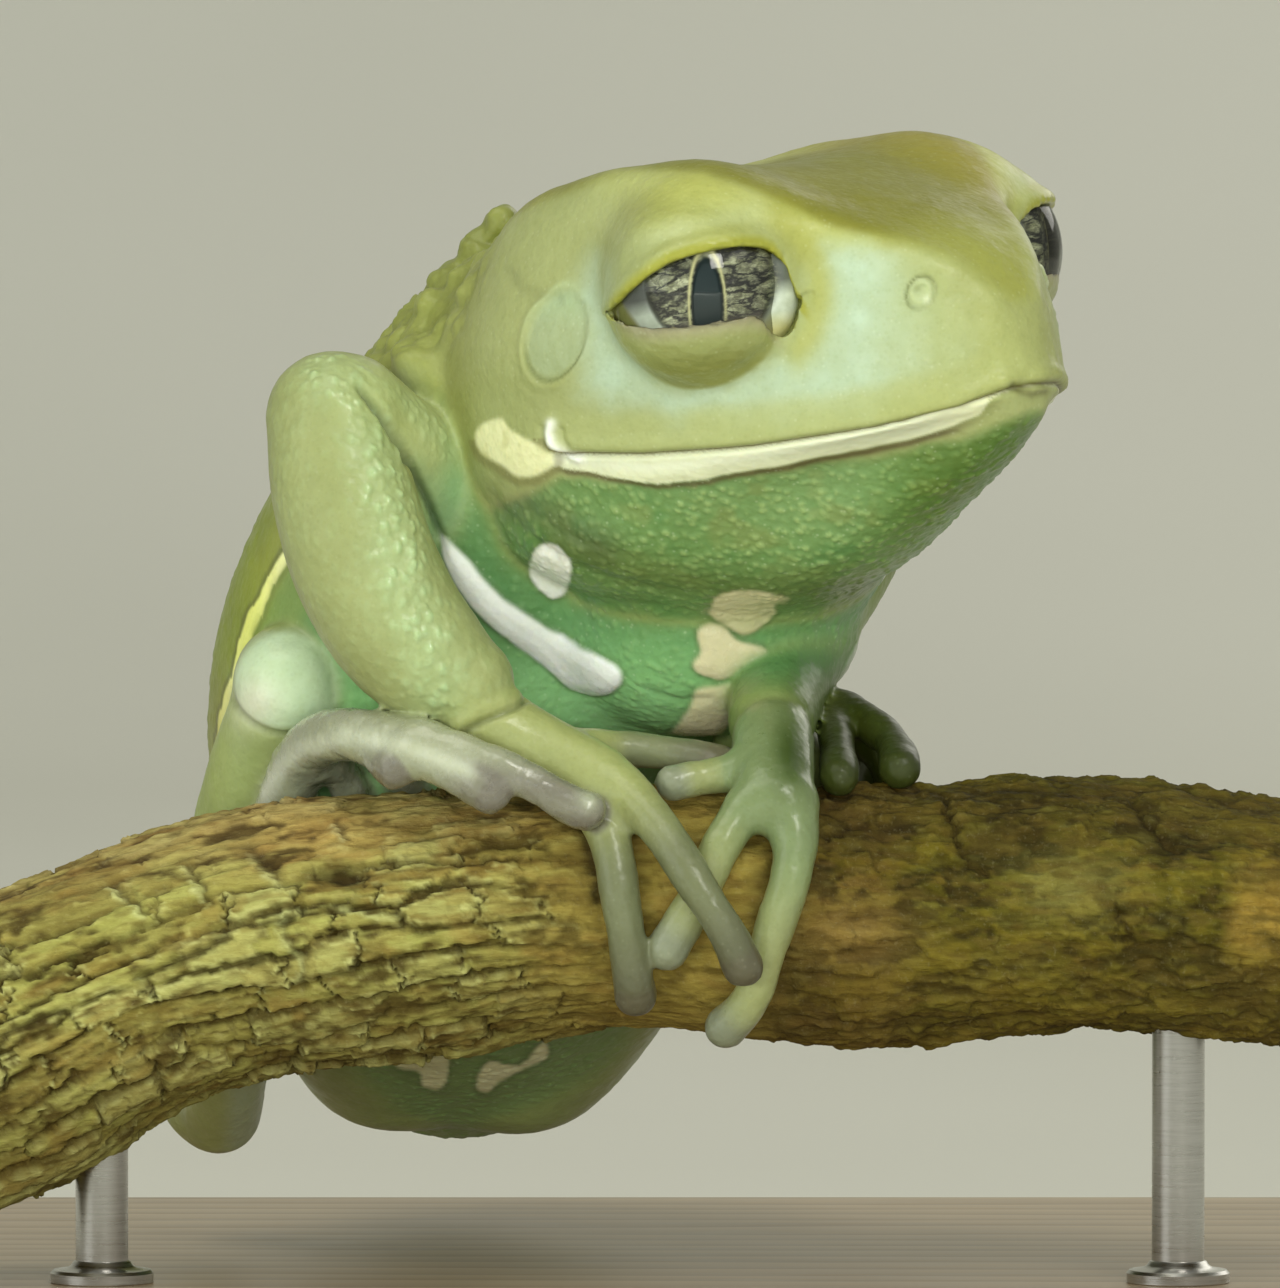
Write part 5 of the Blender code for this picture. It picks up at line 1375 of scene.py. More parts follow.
# belly patches that show under the perch
under = np.clip(w_trunk + W["thigh_right"] + W["thigh_left"], 0, 1) * smooth(1020, 1032, FV)
marking([(369, 1052), (407, 1050), (440, 1046), (448, 1065), (442, 1088), (423, 1086), (419, 1073), (398, 1069),
         (390, 1057)], (226, 222, 176), (66, 84, 40), gate=under, u=FU, v=FV)
marking([(478, 1090), (478, 1078), (490, 1061), (519, 1065), (544, 1044), (546, 1057), (519, 1071), (498, 1082),
         (490, 1092)], (226, 222, 176), (58, 76, 36), gate=under, u=FU, v=FV)
# flank line: cream, dark edged, from the armpit to the groin on both sides
line_at = 91.0 - 3.0 * spine_t + 3.0 * mid
fl = np.abs(flank) - line_at
fl_w = 2.6 * smooth(0.14, 0.3, spine_t) * smooth(0.86, 0.6, spine_t)
lay((96, 96, 60), w_trunk * smooth(2.6, 0.6, np.abs(np.abs(fl) - fl_w - 0.8)) * (fl_w > 0.6) * 0.6)
lay((246, 246, 178), w_trunk * smooth(0.9, -0.6, np.abs(fl) - fl_w) * (fl_w > 0.5))
# bluish grey between that line and the near thigh
lay((142, 156, 78), w_trunk * smooth(0, -4, fl) * smooth(-26, -14, fl) * (flank < 0) * 0.6)


def tint(mask, colour):
    """Multiply by a colour where the mask is."""
    global TONE
    m = np.clip(mask, 0, 1)[:, None]
    TONE = TONE * (1 - m + m * np.array(colour))


seen = smooth(-0.1, 0.3, facing)
# painted light: the lower chest is lightened where it lies in shade under the head
chest_low_painted_light = np.clip(w_trunk, 0, 1) * seen * (1 - pale) * bell(np.hypot((FU - 575.0) / 120.0, (FV - 685.0) / 80.0), 1.0)
tint(chest_low_painted_light, (1.42, 1.32, 1.50))
# painted olive bounce light and shade: the rump at the near side's edge turns yellower and darker
tint(seen * smooth(240.0, 214.0, FU) * smooth(640.0, 700.0, FV) * (1 - 0.6 * w_knee), (0.90, 0.87, 0.50))
tint(seen * bell(np.hypot((FU - 246.0) / 26.0, (FV - 770.0) / 50.0), 1.0) * (1 - w_knee), (1.28, 1.22, 1.30))
# painted olive bounce light: the near flank's edge turns yellower
tint(np.clip(w_trunk, 0, 1) * seen * smooth(290.0, 250.0, FU) * smooth(700.0, 640.0, FV) * (1 - pale), (0.96, 1.0, 0.55))
tint(W["hand_right"] * smooth(820.0, 870.0, FV), (0.82, 0.82, 0.80))
tint(W["forearm_right"] + W["hand_right"] * 0.5, (0.93, 0.92, 0.90))
tint(w_head * crown, (0.98, 0.99, 0.86))
tint(w_head * crown * np.maximum(smooth(0.0, 4.0, HY), smooth(6.0, 10.0, HX)), (1.0, 0.97, 0.72))
tint(w_head * smooth(0.0, -20.0, above) * (1 - crown) * 0.7, (0.92, 0.91, 0.82))
# painted shade: the throat darkens towards its right end
tint(green * smooth(840.0, 930.0, FU) * seen, (0.80, 0.84, 0.64))
jaw_shade, _ = to_polyline(FU, FV, [(500, 490), (545, 514), (600, 545)])
tint(seen * np.clip(w_trunk + w_head + W["upper_arm_right"], 0, 1) * bell(jaw_shade, 20.0) * (1 - pale)
     * smooth(-0.6, -1.4, dz), (0.74, 0.68, 0.78))
# painted shade on the far wrist's right side
left_wrist_painted_shade = (W["forearm_left"] + W["hand_left"]) * bell(np.hypot((FU - 792.0) / 26.0, (FV - 752.0) / 46.0), 1.0)
lay((54, 72, 18), left_wrist_painted_shade * seen * 0.95)
# painted highlight on a toe tip of the near foot
lay((178, 184, 158), W["foot_right"] * seen * bell(np.hypot(FU - 590.0, FV - 799.0), 13.0) * 0.7)

# slight wear of tone all over, and painted shade in the folds
shade(smooth(-0.1, 0.7, mid) * (1 - w_head * 0.5) * (1 - pale), 0.90)
shade(crease, 0.75)
shade(arm_fold, 0.52)
shade(wrist_fold, 0.62)
shade(knee_fold, 0.72)
hidden = W["forearm_left"] * smooth(9.0, 5.0, P[:, 1])
lay((96, 142, 86), hidden * smooth(9.4, 11.2, P[:, 2]) * smooth(-0.1, 0.2, facing))
# painted shade on the far forearm's right edge, where the chest shades it
lay((62, 84, 26), hidden * smooth(6.0, 8.0, P[:, 0]) * smooth(13.0, 10.0, P[:, 2]) * smooth(7.0, 9.0, P[:, 2]) * 0.7)
lay((84, 104, 46), W["forearm_left"] * smooth(10.0, 8.4, P[:, 2]) * 0.6)
lay((176, 200, 148), arm_beads * (0.35 + 0.4 * arm_b))

moist = np.clip(0.15 + 0.75 * arm_beads * arm_b + 0.85 * W["foot_right"] + 0.5 * W["hand_left"] + 0.3 * W["hand_right"]
                + 0.45 * (W["shank_right"] + W["thigh_right"]) * smooth(5.0, 2.0, kd)
                + 0.35 * lid_shell + 0.35 * lid_rim + 0.25 * throat + 0.9 * pale, 0, 1)
clean = np.clip(pect + 0.7 * pale + w_hook * bell(hook, 5.2) + stripe, 0, 1)
fine = np.clip(0.25 + 0.75 * (throat + chest_front) + 0.3 * w_head, 0, 1)


def put_colour(me, name, values):
    at = me.attributes.new(name, "FLOAT_COLOR", "POINT")
    full = np.ones((len(values), 4), np.float32)
    full[:, :3] = values
    at.data.foreach_set("color", full.ravel())


def put_value(me, name, values):
    at = me.attributes.new(name, "FLOAT", "POINT")
    at.data.foreach_set("value", np.asarray(values, np.float32))


put_colour(skin.data, "tone", TONE)
put_value(skin.data, "moist", moist)
put_value(skin.data, "clean", clean)
put_value(skin.data, "fine", fine)
skin.data.shade_smooth()
flesh = [n for n in frame["nodes"] if not n.startswith(("eye_", "stand_", "perch"))]
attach(skin, "root")
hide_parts(*flesh)


# =============================================================== materials
class Nodes:
    """Short hand for building node trees."""

    def __init__(self, name):
        self.mat = bpy.data.materials.new(name)
        self.mat.use_nodes = True
        self.t = self.mat.node_tree
        self.bsdf = self.t.nodes["Principled BSDF"]
        self.out = self.t.nodes["Material Output"]
        self.coords = None

    def new(self, kind, **props):
        n = self.t.nodes.new(kind)
        for k, v in props.items():
            setattr(n, k, v)
        return n

    def link(self, a, b):
        self.t.links.new(a, b)

    def place(self):
        if self.coords is None:
            self.coords = self.new("ShaderNodeTexCoord").outputs["Object"]
        return self.coords

    def noise(self, scale, detail=4.0, rough=0.55, distort=0.0, vector=None):
        n = self.new("ShaderNodeTexNoise")
        n.inputs["Scale"].default_value = scale
        n.inputs["Detail"].default_value = detail
        n.inputs["Roughness"].default_value = rough
        n.inputs["Distortion"].default_value = distort
        self.link(vector or self.place(), n.inputs["Vector"])
        return n.outputs["Fac"]

    def voronoi(self, scale, feature="F1", vector=None, out="Distance"):
        n = self.new("ShaderNodeTexVoronoi", feature=feature)
        n.inputs["Scale"].default_value = scale
        self.link(vector or self.place(), n.inputs["Vector"])
        return n.outputs[out]

    def ramp(self, fac, stops):
        n = self.new("ShaderNodeValToRGB")
        e = n.color_ramp.elements
        while len(e) < len(stops):
            e.new(0.5)
        for k, (pos, col) in enumerate(stops):
            e[k].position = pos
            e[k].color = (*col, 1.0) if len(col) == 3 else col
        self.link(fac, n.inputs["Fac"])
        return n.outputs["Color"]

    def range(self, value, a, b, c, d):
        n = self.new("ShaderNodeMapRange")
        for k, v in zip(("From Min", "From Max", "To Min", "To Max"), (a, b, c, d)):
            n.inputs[k].default_value = v
        self.link(value, n.inputs["Value"])
        return n.outputs["Result"]

    def maths(self, op, a, b=0.0):
        n = self.new("ShaderNodeMath", operation=op)
        for k, v in enumerate((a, b)):
            if isinstance(v, (int, float)):
                n.inputs[k].default_value = v
            else:
                self.link(v, n.inputs[k])
        return n.outputs[0]

    def mix(self, fac, a, b, blend="MIX"):
        n = self.new("ShaderNodeMix", data_type="RGBA", blend_type=blend)
        for sock, v in ((n.inputs[0], fac), (n.inputs[6], a), (n.inputs[7], b)):
            if isinstance(v, (int, float)):
                sock.default_value = v
            elif isinstance(v, (tuple, list, np.ndarray)):
                sock.default_value = (*[float(c) for c in v][:3], 1.0)
            else:
                self.link(v, sock)
        return n.outputs[2]

    def attribute(self, name, out="Color"):
        n = self.new("ShaderNodeAttribute", attribute_name=name)
        return n.outputs[out]

    def bump(self, height, strength, distance, normal=None):
        n = self.new("ShaderNodeBump")
        n.inputs["Strength"].default_value = strength
        n.inputs["Distance"].default_value = distance
        self.link(height, n.inputs["Height"])
        if normal is not None:
            self.link(normal, n.inputs["Normal"])
        return n.outputs["Normal"]


def skin_material():
    m = Nodes("skin")
    tone = m.attribute("tone")
    moist_v = m.attribute("moist", "Fac")
    fine_v = m.attribute("fine", "Fac")
    # mottling at three sizes
    plain = m.maths("SUBTRACT", 1.0, m.maths("MULTIPLY", m.attribute("clean", "Fac"), 0.85))
    broad = m.noise(260.0, 3.0, 0.6)
    small = m.noise(1400.0, 4.0, 0.6)
    col = m.mix(m.maths("MULTIPLY", m.range(broad, 0.35, 0.75, 0.0, 0.22), plain), tone, (0.62, 0.60, 0.30), "MULTIPLY")
    col = m.mix(m.maths("MULTIPLY", m.range(small, 0.4, 0.8, 0.0, 0.28), plain), col, (0.70, 0.72, 0.55), "MULTIPLY")
    pore = m.voronoi(3600.0)
    col = m.mix(m.maths("MULTIPLY", m.range(pore, 0.0, 0.45, 0.16, 0.0), plain), col, (0.55, 0.58, 0.36), "MULTIPLY")
    glint = m.voronoi(2300.0)
    col = m.mix(m.maths("MULTIPLY", m.range(glint, 0.22, 0.05, 0.0, 0.16), fine_v), col, (0.80, 0.88, 0.62), "SCREEN")
    m.link(col, m.bsdf.inputs["Base Color"])
    rough = m.range(small, 0.3, 0.7, 0.40, 0.56)
    rough = m.maths("SUBTRACT", rough, m.maths("MULTIPLY", moist_v, 0.20))
    m.link(rough, m.bsdf.inputs["Roughness"])
    n1 = m.bump(pore, 0.22, 0.00006)
    n2 = m.bump(small, 0.35, 0.00008, n1)
    n3 = m.bump(glint, 0.18, 0.00010, n2)
    m.link(n3, m.bsdf.inputs["Normal"])
    m.bsdf.inputs["Subsurface Weight"].default_value = 0.16
    m.bsdf.inputs["Subsurface Radius"].default_value = (1.0, 0.75, 0.35)
    m.bsdf.inputs["Subsurface Scale"].default_value = 0.0009
    m.bsdf.inputs["Specular IOR Level"].default_value = 0.5
    m.link(m.maths("MULTIPLY", moist_v, 0.7), m.bsdf.inputs["Coat Weight"])
    m.bsdf.inputs["Coat Roughness"].default_value = 0.17
    return m.mat


skin.data.materials.append(skin_material())


# =============================================================== eyes
def eye_mesh(side, kind):
    """Ball with its iris dished in (kind "ball"), or the clear dome over it (kind "dome")."""
    c, out, ahead, up = eye_frame(side)
    n_ring, n_seg = (120, 150) if kind == "ball" else (40, 96)
    iris_c = np.array([0.5, 0.25])                 # ahead, up
    iris_r = 2.95
    pts, uv = [], []
    top = math.pi if kind == "ball" else math.radians(86.0)
    for i in range(1, n_ring + 1):
        # rings are closer together over the iris
        f = i / n_ring
        th = top * (f ** 1.35 if kind == "ball" else f)
        if kind == "ball" and i == n_ring:
            th = math.pi * 0.995
        for k in range(n_seg):
            ph = 2 * math.pi * k / n_seg
            d = np.array([math.sin(th) * math.cos(ph), math.sin(th) * math.sin(ph), math.cos(th)])
            pts.append(d)
    pts = np.vstack([[0, 0, 1.0], np.array(pts)])
    u, v, w = (pts * EYE_RADIUS).T
    if kind == "ball":
        rho = np.hypot(u - iris_c[0], v - iris_c[1])
        inside = smooth(iris_r + 0.05, iris_r - 0.25, rho) * (w > 0)
        dish = 2.80 + 0.66 * (1 - np.clip(rho / iris_r, 0, 1) ** 2)
        # pupil: an upright slit with a slightly raised, paler rim
        pr = np.hypot((u - 0.26 - 0.11 * v) / 0.73, (v + 0.80) / 2.25)
        dish = dish + 0.05 * bell(pr - 1.12, 0.12) - 0.22 * smooth(1.0, 0.82, pr)
        # veins of the iris in low relief
        q = np.stack([u, v, np.zeros_like(u)], 1)
        vein = fbm(q * np.array([1.0, 1.0, 1.0]), (0.62, 0.34, 1.0), 3, 71)
        dish = dish + 0.05 * np.clip(vein, -0.6, 0.6) * smooth(1.1, 1.4, pr)
        keep_w = (w > 0) & (rho < iris_r)
        w = np.where(inside > 0, w * (1 - inside) + np.minimum(dish, w - 0.03) * inside, w)
        # the white swells a little at the front corner
        swell = smooth(2.7, 3.7, u) * smooth(1.3, 0.4, v) * smooth(-3.6, -2.6, v) * (1 - inside)
        u, v, w = (np.stack([u, v, w], 1) * (1 + 0.07 * swell * smooth(-0.6, 0.4, w))[:, None]).T
        put = {"iris": inside, "pr": pr, "rho": rho / iris_r}
    else:
        bulge = 1.0 + 0.012 * smooth(1.0, 0.0, np.arccos(np.clip(pts[:, 2], -1, 1)) / top)
        u, v, w = (np.stack([u, v, w], 1) * bulge[:, None] * 1.004).T
        put = {}
    places = c + u[:, None] * ahead + v[:, None] * up + w[:, None] * out
    me = bpy.data.meshes.new("eye_" + kind)
    faces = []
    for k in range(n_seg):
        faces.append((0, 1 + k, 1 + (k + 1) % n_seg))
    for i in range(n_ring - 1):
        a = 1 + i * n_seg
        b = a + n_seg
        for k in range(n_seg):
            k2 = (k + 1) % n_seg
            faces.append((a + k, b + k, b + k2, a + k2))
    if kind == "ball":
        a = 1 + (n_ring - 1) * n_seg
        faces.append(tuple(a + k for k in range(n_seg))[::-1])
    me.from_pydata([tuple(p) for p in world(places)], [], faces)
    me.update()
    if side > 0:
        pass
    # faces point outwards whichever way round the eye's own axes run
    mid_n = np.array(me.polygons[0].normal)
    if mid_n @ out < 0:
        me.flip_normals()
    me.shade_smooth()
    if kind == "ball":
        put_value(me, "iris", put["iris"])
        put_value(me, "pupil", smooth(1.02, 0.92, put["pr"]))
        put_value(me, "pupil_rim", bell(put["pr"] - 1.12, 0.075) * (put["iris"] > 0.5))
        put_value(me, "rho", put["rho"])
        at = me.attributes.new("plan", "FLOAT_VECTOR", "POINT")
        at.data.foreach_set("vector", np.stack([u, v, np.zeros_like(u)], 1).astype(np.float32).ravel())
    return me


def eye_material():
    m = Nodes("eye_ball")
    plan = m.attribute("plan", "Vector")
    iris = m.attribute("iris", "Fac")
    pupil = m.attribute("pupil", "Fac")
    rim = m.attribute("pupil_rim", "Fac")
    rho = m.attribute("rho", "Fac")
    sep = m.new("ShaderNodeSeparateXYZ")
    m.link(plan, sep.inputs[0])
    # net of dark veins that run mostly across, over silver grey
    mapping = m.new("ShaderNodeMapping")
    mapping.inputs["Scale"].default_value = (0.62, 1.6, 1.0)
    m.link(plan, mapping.inputs["Vector"])
    warp = m.noise(1.5, 3.0, 0.6, 0.0, mapping.outputs[0])
    warped = m.new("ShaderNodeVectorMath", operation="ADD")
    m.link(mapping.outputs[0], warped.inputs[0])
    scaled = m.new("ShaderNodeVectorMath", operation="SCALE")
    comb = m.new("ShaderNodeCombineXYZ")
    m.link(m.maths("SUBTRACT", warp, 0.5), comb.inputs[0])
    m.link(m.maths("SUBTRACT", m.noise(1.9, 3.0, 0.6, 0.4, mapping.outputs[0]), 0.5), comb.inputs[1])
    m.link(comb.outputs[0], scaled.inputs[0])
    scaled.inputs["Scale"].default_value = 1.5
    m.link(scaled.outputs[0], warped.inputs[1])
    net = m.voronoi(1.15, "DISTANCE_TO_EDGE", warped.outputs[0])
    fine_net = m.voronoi(2.8, "DISTANCE_TO_EDGE", warped.outputs[0])
    base = m.ramp(m.noise(2.2, 5.0, 0.65, 0.6, plan), [
        (0.32, tuple(rgb(92, 92, 72))), (0.46, tuple(rgb(146, 150, 114))), (0.64, tuple(rgb(206, 210, 172)))])
    base = m.mix(m.range(fine_net, 0.03, 0.16, 0.45, 0.0), base, tuple(rgb(66, 64, 58)))
    base = m.mix(m.range(net, 0.04, 0.20, 0.95, 0.0), base, tuple(rgb(26, 26, 28)))
    # painted shadow of the upper lid as a dark band across the iris's top, and a dark ring at the iris's outer edge
    base = m.mix(m.range(sep.outputs[1], 1.0, 1.9, 0.0, 0.75), base, tuple(rgb(30, 30, 32)))
    # pinkish haze over its lower edge
    base = m.mix(m.range(sep.outputs[1], -1.25, -1.85, 0.0, 0.8), base, tuple(rgb(140, 132, 120)))
    base = m.mix(m.range(rho, 0.88, 1.0, 0.0, 0.55), base, tuple(rgb(70, 68, 62)))
    base = m.mix(rim, base, tuple(rgb(208, 206, 150)))
    base = m.mix(pupil, base, (0.006, 0.020, 0.022))
    # the rest of the ball: milky patches ahead of and behind the iris
    white = m.ramp(m.noise(1.4, 3.0, 0.5, 0.0, plan), [
        (0.35, tuple(rgb(196, 206, 186))), (0.65, tuple(rgb(218, 227, 212)))])
    white = m.mix(m.range(sep.outputs[1], -1.45, -2.25, 0.0, 0.85), white, tuple(rgb(210, 203, 132)))
    # painted shade under the upper lid: the white darkens towards its top
    white = m.mix(m.range(sep.outputs[1], -0.80, -0.10, 0.0, 0.90), white, tuple(rgb(78, 82, 78)))
    # the fold of the third lid covers the white at the rear corner
    rear = m.maths("ADD", sep.outputs[0], m.maths("MULTIPLY", sep.outputs[1], 0.54))
    white = m.mix(m.range(rear, -3.50, -3.72, 0.0, 1.0), white, tuple(rgb(150, 152, 84)))
    col = m.mix(iris, white, base)
    m.link(col, m.bsdf.inputs["Base Color"])
    m.bsdf.inputs["Roughness"].default_value = 0.32
    m.bsdf.inputs["Specular IOR Level"].default_value = 0.4
    rough_n = m.maths("MULTIPLY", m.noise(9.0, 4.0, 0.6, 0.0, plan), m.maths("SUBTRACT", 1.0, pupil))
    m.link(m.bump(rough_n, 0.3, 0.00004), m.bsdf.inputs["Normal"])
    return m.mat


def dome_material():
    """Clear wet cornea: mirrors by Fresnel, lets the rest through."""
    m = Nodes("eye_dome")
    m.t.nodes.remove(m.bsdf)
    clear = m.new("ShaderNodeBsdfTransparent")
    gloss = m.new("ShaderNodeBsdfGlossy")
    gloss.inputs["Roughness"].default_value = 0.05
    fres = m.new("ShaderNodeFresnel")
    fres.inputs["IOR"].default_value = 1.60
    mix = m.new("ShaderNodeMixShader")
    m.link(fres.outputs[0], mix.inputs[0])
    m.link(clear.outputs[0], mix.inputs[1])
    m.link(gloss.outputs[0], mix.inputs[2])
    m.link(mix.outputs[0], m.out.inputs["Surface"])
    return m.mat


ball_mat, dome_mat = eye_material(), dome_material()
for side, tag in ((1, "left"), (-1, "right")):
    ball = bpy.data.objects.new("eyeball_" + tag, eye_mesh(side, "ball"))
    scene.collection.objects.link(ball)
    ball.data.materials.append(ball_mat)
    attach(ball, "root")
    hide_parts("eye_" + tag)
    dome = bpy.data.objects.new("cornea_" + tag, eye_mesh(side, "dome"))
    scene.collection.objects.link(dome)
    dome.data.materials.append(dome_mat)
    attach(dome, "root")


# =============================================================== perch
STRIPS = 26                    # long strips of bark round the branch


def strips_of_bark(x, a, q, count, length, seed, wander):
    """Strips along the branch broken across into blocks: edge closeness both ways and each block's number."""
    s = (a / (2 * math.pi) * count + wander * fbm(q, (8.0, 3.0, 3.0), 3, seed)
         + 0.30 * fbm(q, (1.2, 0.7, 0.7), 3, seed + 5, 0.65))
    j = np.floor(s)
    f = s - j
    jm = np.mod(j, count).astype(np.int64)
    zero = np.zeros_like(jm)
    u = x / length + 5.0 * hashed(jm, zero, zero, seed + 1) + 0.26 * fbm(q, (1.0, 0.5, 0.5), 3, seed + 7, 0.65)
    k = np.floor(u).astype(np.int64)
    g = u - k
    # some cracks across are missing, so blocks have different lengths
    lower = hashed(jm, k, zero, seed + 2)
    upper = hashed(jm, k + 1, zero, seed + 2)
    e_low = np.where(lower < 0.62, g, 9.0) * length
    e_up = np.where(upper < 0.62, 1 - g, 9.0) * length
    k0 = np.where(lower < 0.62, k, k - 1)
    own = hashed(jm, k0, zero, seed + 3)
    width = 2 * math.pi * 6.1 / count
    side = np.minimum(f, 1 - f) * width
    return side, np.minimum(e_low, e_up), own, f, hashed(jm, zero, zero, seed + 4)


def perch_surface(x, a, u, v, near):
    """Bark's height over the mean radius and the masks that colour it; u, v are front drawing coordinates."""
    # the pattern has to close up round the branch, so it is read on a cylinder
    q = np.stack([x, np.cos(a) * 6.0, np.sin(a) * 6.0], 1)
    left = smooth(1.0, -9.0, x + 1.5 * fbm(q, 4.0, 2, 99))
    right = smooth(3.0, 9.0, x + 1.5 * fbm(q, 4.0, 2, 98))
    mid_z = 1 - np.maximum(left, right)
    side, end, own, f, strip = strips_of_bark(x, a, q, STRIPS, 3.2, 201, 0.9)
    side2, end2, own2, f2, strip2 = strips_of_bark(x, a, q, 58, 1.7, 231, 1.6)
    some = smooth(-0.35, 0.25, fbm(q, (5.0, 2.5, 2.5), 2, 243))       # where the second set shows
    fissure = smooth(0.26, 0.05, side) * smooth(-0.6, -0.1, fbm(q, (4.0, 2.0, 2.0), 2, 245))
    cross = smooth(0.15, 0.03, end)
    fissure2 = smooth(0.11, 0.02, side2) * some
    cross2 = smooth(0.09, 0.02, end2) * some
    fib = fbm(q + 0.5 * fbm(q, 2.0, 2, 105)[:, None], (7.0, 0.42, 0.42), 4, 107, 0.62)
    slow = fbm(q, (6.0, 3.0, 3.0), 3, 139)
    # blocks stand out on the lower half of the left part; elsewhere the bark is rough and fibrous
    lower = 1 - near * smooth(30.0, -30.0, v - (935.0 - 0.18 * u) + 14.0 * slow)
    amp = left * (0.36 + 0.90 * lower) + 0.20 * mid_z + 0.34 * right
    grit = fbm(q, (0.60, 0.32, 0.32), 3, 251, 0.6)
    rough = fbm(q, (1.6, 0.8, 0.8), 3, 253, 0.62)
    fissure = fissure * smooth(-0.45, 0.05, rough + 0.4 * slow)
    scab = 1.6 * fbm(q + 0.5 * fbm(q, 1.1, 2, 261)[:, None], (3.4, 1.7, 1.7), 4, 263, 0.70)
    h = 0.14 * slow + 0.06 * fib + (0.10 + 0.04 * left + 0.08 * right) * rough + 0.055 * grit
    h += right * 0.30 * np.clip(scab, -0.8, 0.8) + 0.08 * mid_z * scab
    h += amp * 0.40 * (own - 0.5) + amp * 0.10 * (own2 - 0.5) * some
    h += amp * 0.05 * (4 * f * (1 - f) - 0.5) + amp * 0.08 * grit
    h -= amp * (0.50 * fissure + 0.34 * cross + 0.10 * fissure2 + 0.08 * cross2) * (0.8 + 0.6 * grit)
    # flakes curl up beside the cracks across
    curl = bell(end - 0.26, 0.10) * smooth(0.55, 0.9, own) * amp
    h += 0.16 * curl
    h += 0.040 * fbm(q, (0.8, 0.28, 0.28), 2, 149)
    # rough burl left of the hands, ragged scabs on the right
    burl = near * np.exp(-(((u - 520.0) / 85.0) ** 2 + ((v - 865.0) / 45.0) ** 2))
    burl_n = fbm(q, (0.8, 0.6, 0.6), 3, 151)
    h += burl * (0.22 + 0.42 * burl_n + 0.20 * scab)
    rag = smooth(0.05, 0.35, fbm(q, (2.4, 1.5, 1.5), 3, 157)) * right
    h += 0.18 * rag * (0.5 + fbm(q, (0.6, 0.5, 0.5), 2, 163))
    # a knot, a long split and peeled flakes that stand on the front of the left part
    knot = near * np.exp(-(((u - 355.0) / 20.0) ** 2 + ((v - 873.0) / 11.0) ** 2))
    h -= 0.75 * knot
    light = np.zeros(len(x))
    dark = np.zeros(len(x))
    for line, width, rise in (
            ([(270, 846), (280, 866), (292, 880)], 8.0, 0.16),
            ([(284, 930), (292, 914), (318, 908), (345, 905), (372, 912), (398, 922)], 7.0, 0.20),
            ([(286, 940), (298, 960), (290, 990)], 6.5, 0.14),
            ([(148, 880), (154, 902), (164, 916)], 6.0, 0.14),
            ([(212, 862), (220, 884), (222, 902)], 5.0, 0.12),
            ([(142, 980), (148, 1000)], 6.0, 0.12),
            ([(24, 926), (30, 944)], 4.5, 0.08),
            ([(353, 818), (360, 838)], 5.0, 0.10)):
        uu, vv = u + 8.0 * grit + 5.0 * rough, v + 8.0 * fib + 5.0 * burl_n
        d, _ = to_polyline(uu, vv, line)
        m = near * bell(d, width * 0.55) * smooth(-0.45, 0.15, rough + 0.5 * grit)
        light = np.maximum(light, m)
        h += rise * 0.75 * m
        # beside each flake, to its upper right: a groove, darkened as painted shade
        under = near * bell(to_polyline(uu - 4.0, vv + 5.0, line)[0], width * 0.7)
        h -= rise * 1.2 * under
        dark = np.maximum(dark, 0.8 * under)
    # long carved splits; their dark colour is painted shade
    for line, width, deep in (
            ([(140, 978), (190, 958), (238, 936)], 5.0, 0.45), ([(0, 1040), (40, 1016), (70, 1012)], 5.0, 0.40),
            ([(130, 1098), (128, 1070), (122, 1060)], 4.0, 0.35), ([(258, 1090), (266, 1072), (280, 1060)], 5.0, 0.45),
            ([(945, 800), (960, 840), (985, 870)], 5.0, 0.40), ([(1118, 915), (1130, 940)], 5.0, 0.35),
            ([(1130, 800), (1150, 830), (1180, 850)], 5.0, 0.35), ([(560, 800), (590, 840), (600, 900)], 9.0, 0.10)):
        d, _ = to_polyline(u + 8.0 * grit, v + 7.0 * fib + 4.0 * burl_n, line)
        m = near * bell(d, width * 0.8)
        h -= deep * m
        dark = np.maximum(dark, m)
    h = np.clip(h, -0.95, 0.42)
    cracks = np.clip(amp * (fissure + 0.8 * cross + 0.5 * fissure2 + 0.4 * cross2), 0, 1)
    edges = amp * np.clip(bell(side - 0.27, 0.09) * smooth(0.45, 0.8, own) * 0.8 + curl
                          + bell(end - 0.18, 0.07) * smooth(0.3, 0.6, own2), 0, 1)
    return h, dict(scab=scab, rough=rough, grit=grit, left=left, right=right, crack=cracks, own=own, own2=own2, strip=strip, fib=fib, edge=edges,
                   rag=rag, h=h, burl=burl * (0.5 + burl_n), knot=knot, light=light, dark=dark, slow=slow)


nx, na = ((560, 280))
xs = np.linspace(-36.0, 35.0, nx)
aa = 2 * np.pi * np.arange(na) / na
X, A = np.meshgrid(xs, aa, indexing="ij")
x1, a1 = X.ravel(), A.ravel()
zc, r = perch_at(x1)
mean = np.stack([x1, r * np.cos(a1), zc + r * np.sin(a1)], 1)
near_side = smooth(0.15, -0.25, np.cos(a1))
h, bark = perch_surface(x1, a1, *front(mean), near_side)
zf, _ = perch_at(x1 + 0.25)
zb, _ = perch_at(x1 - 0.25)
slope = np.arctan((zf - zb) / 0.5)
slope = np.where((np.abs(x1 + 36.0) < 0.01) | (np.abs(x1 - 35.0) < 0.01), 0.0, slope)
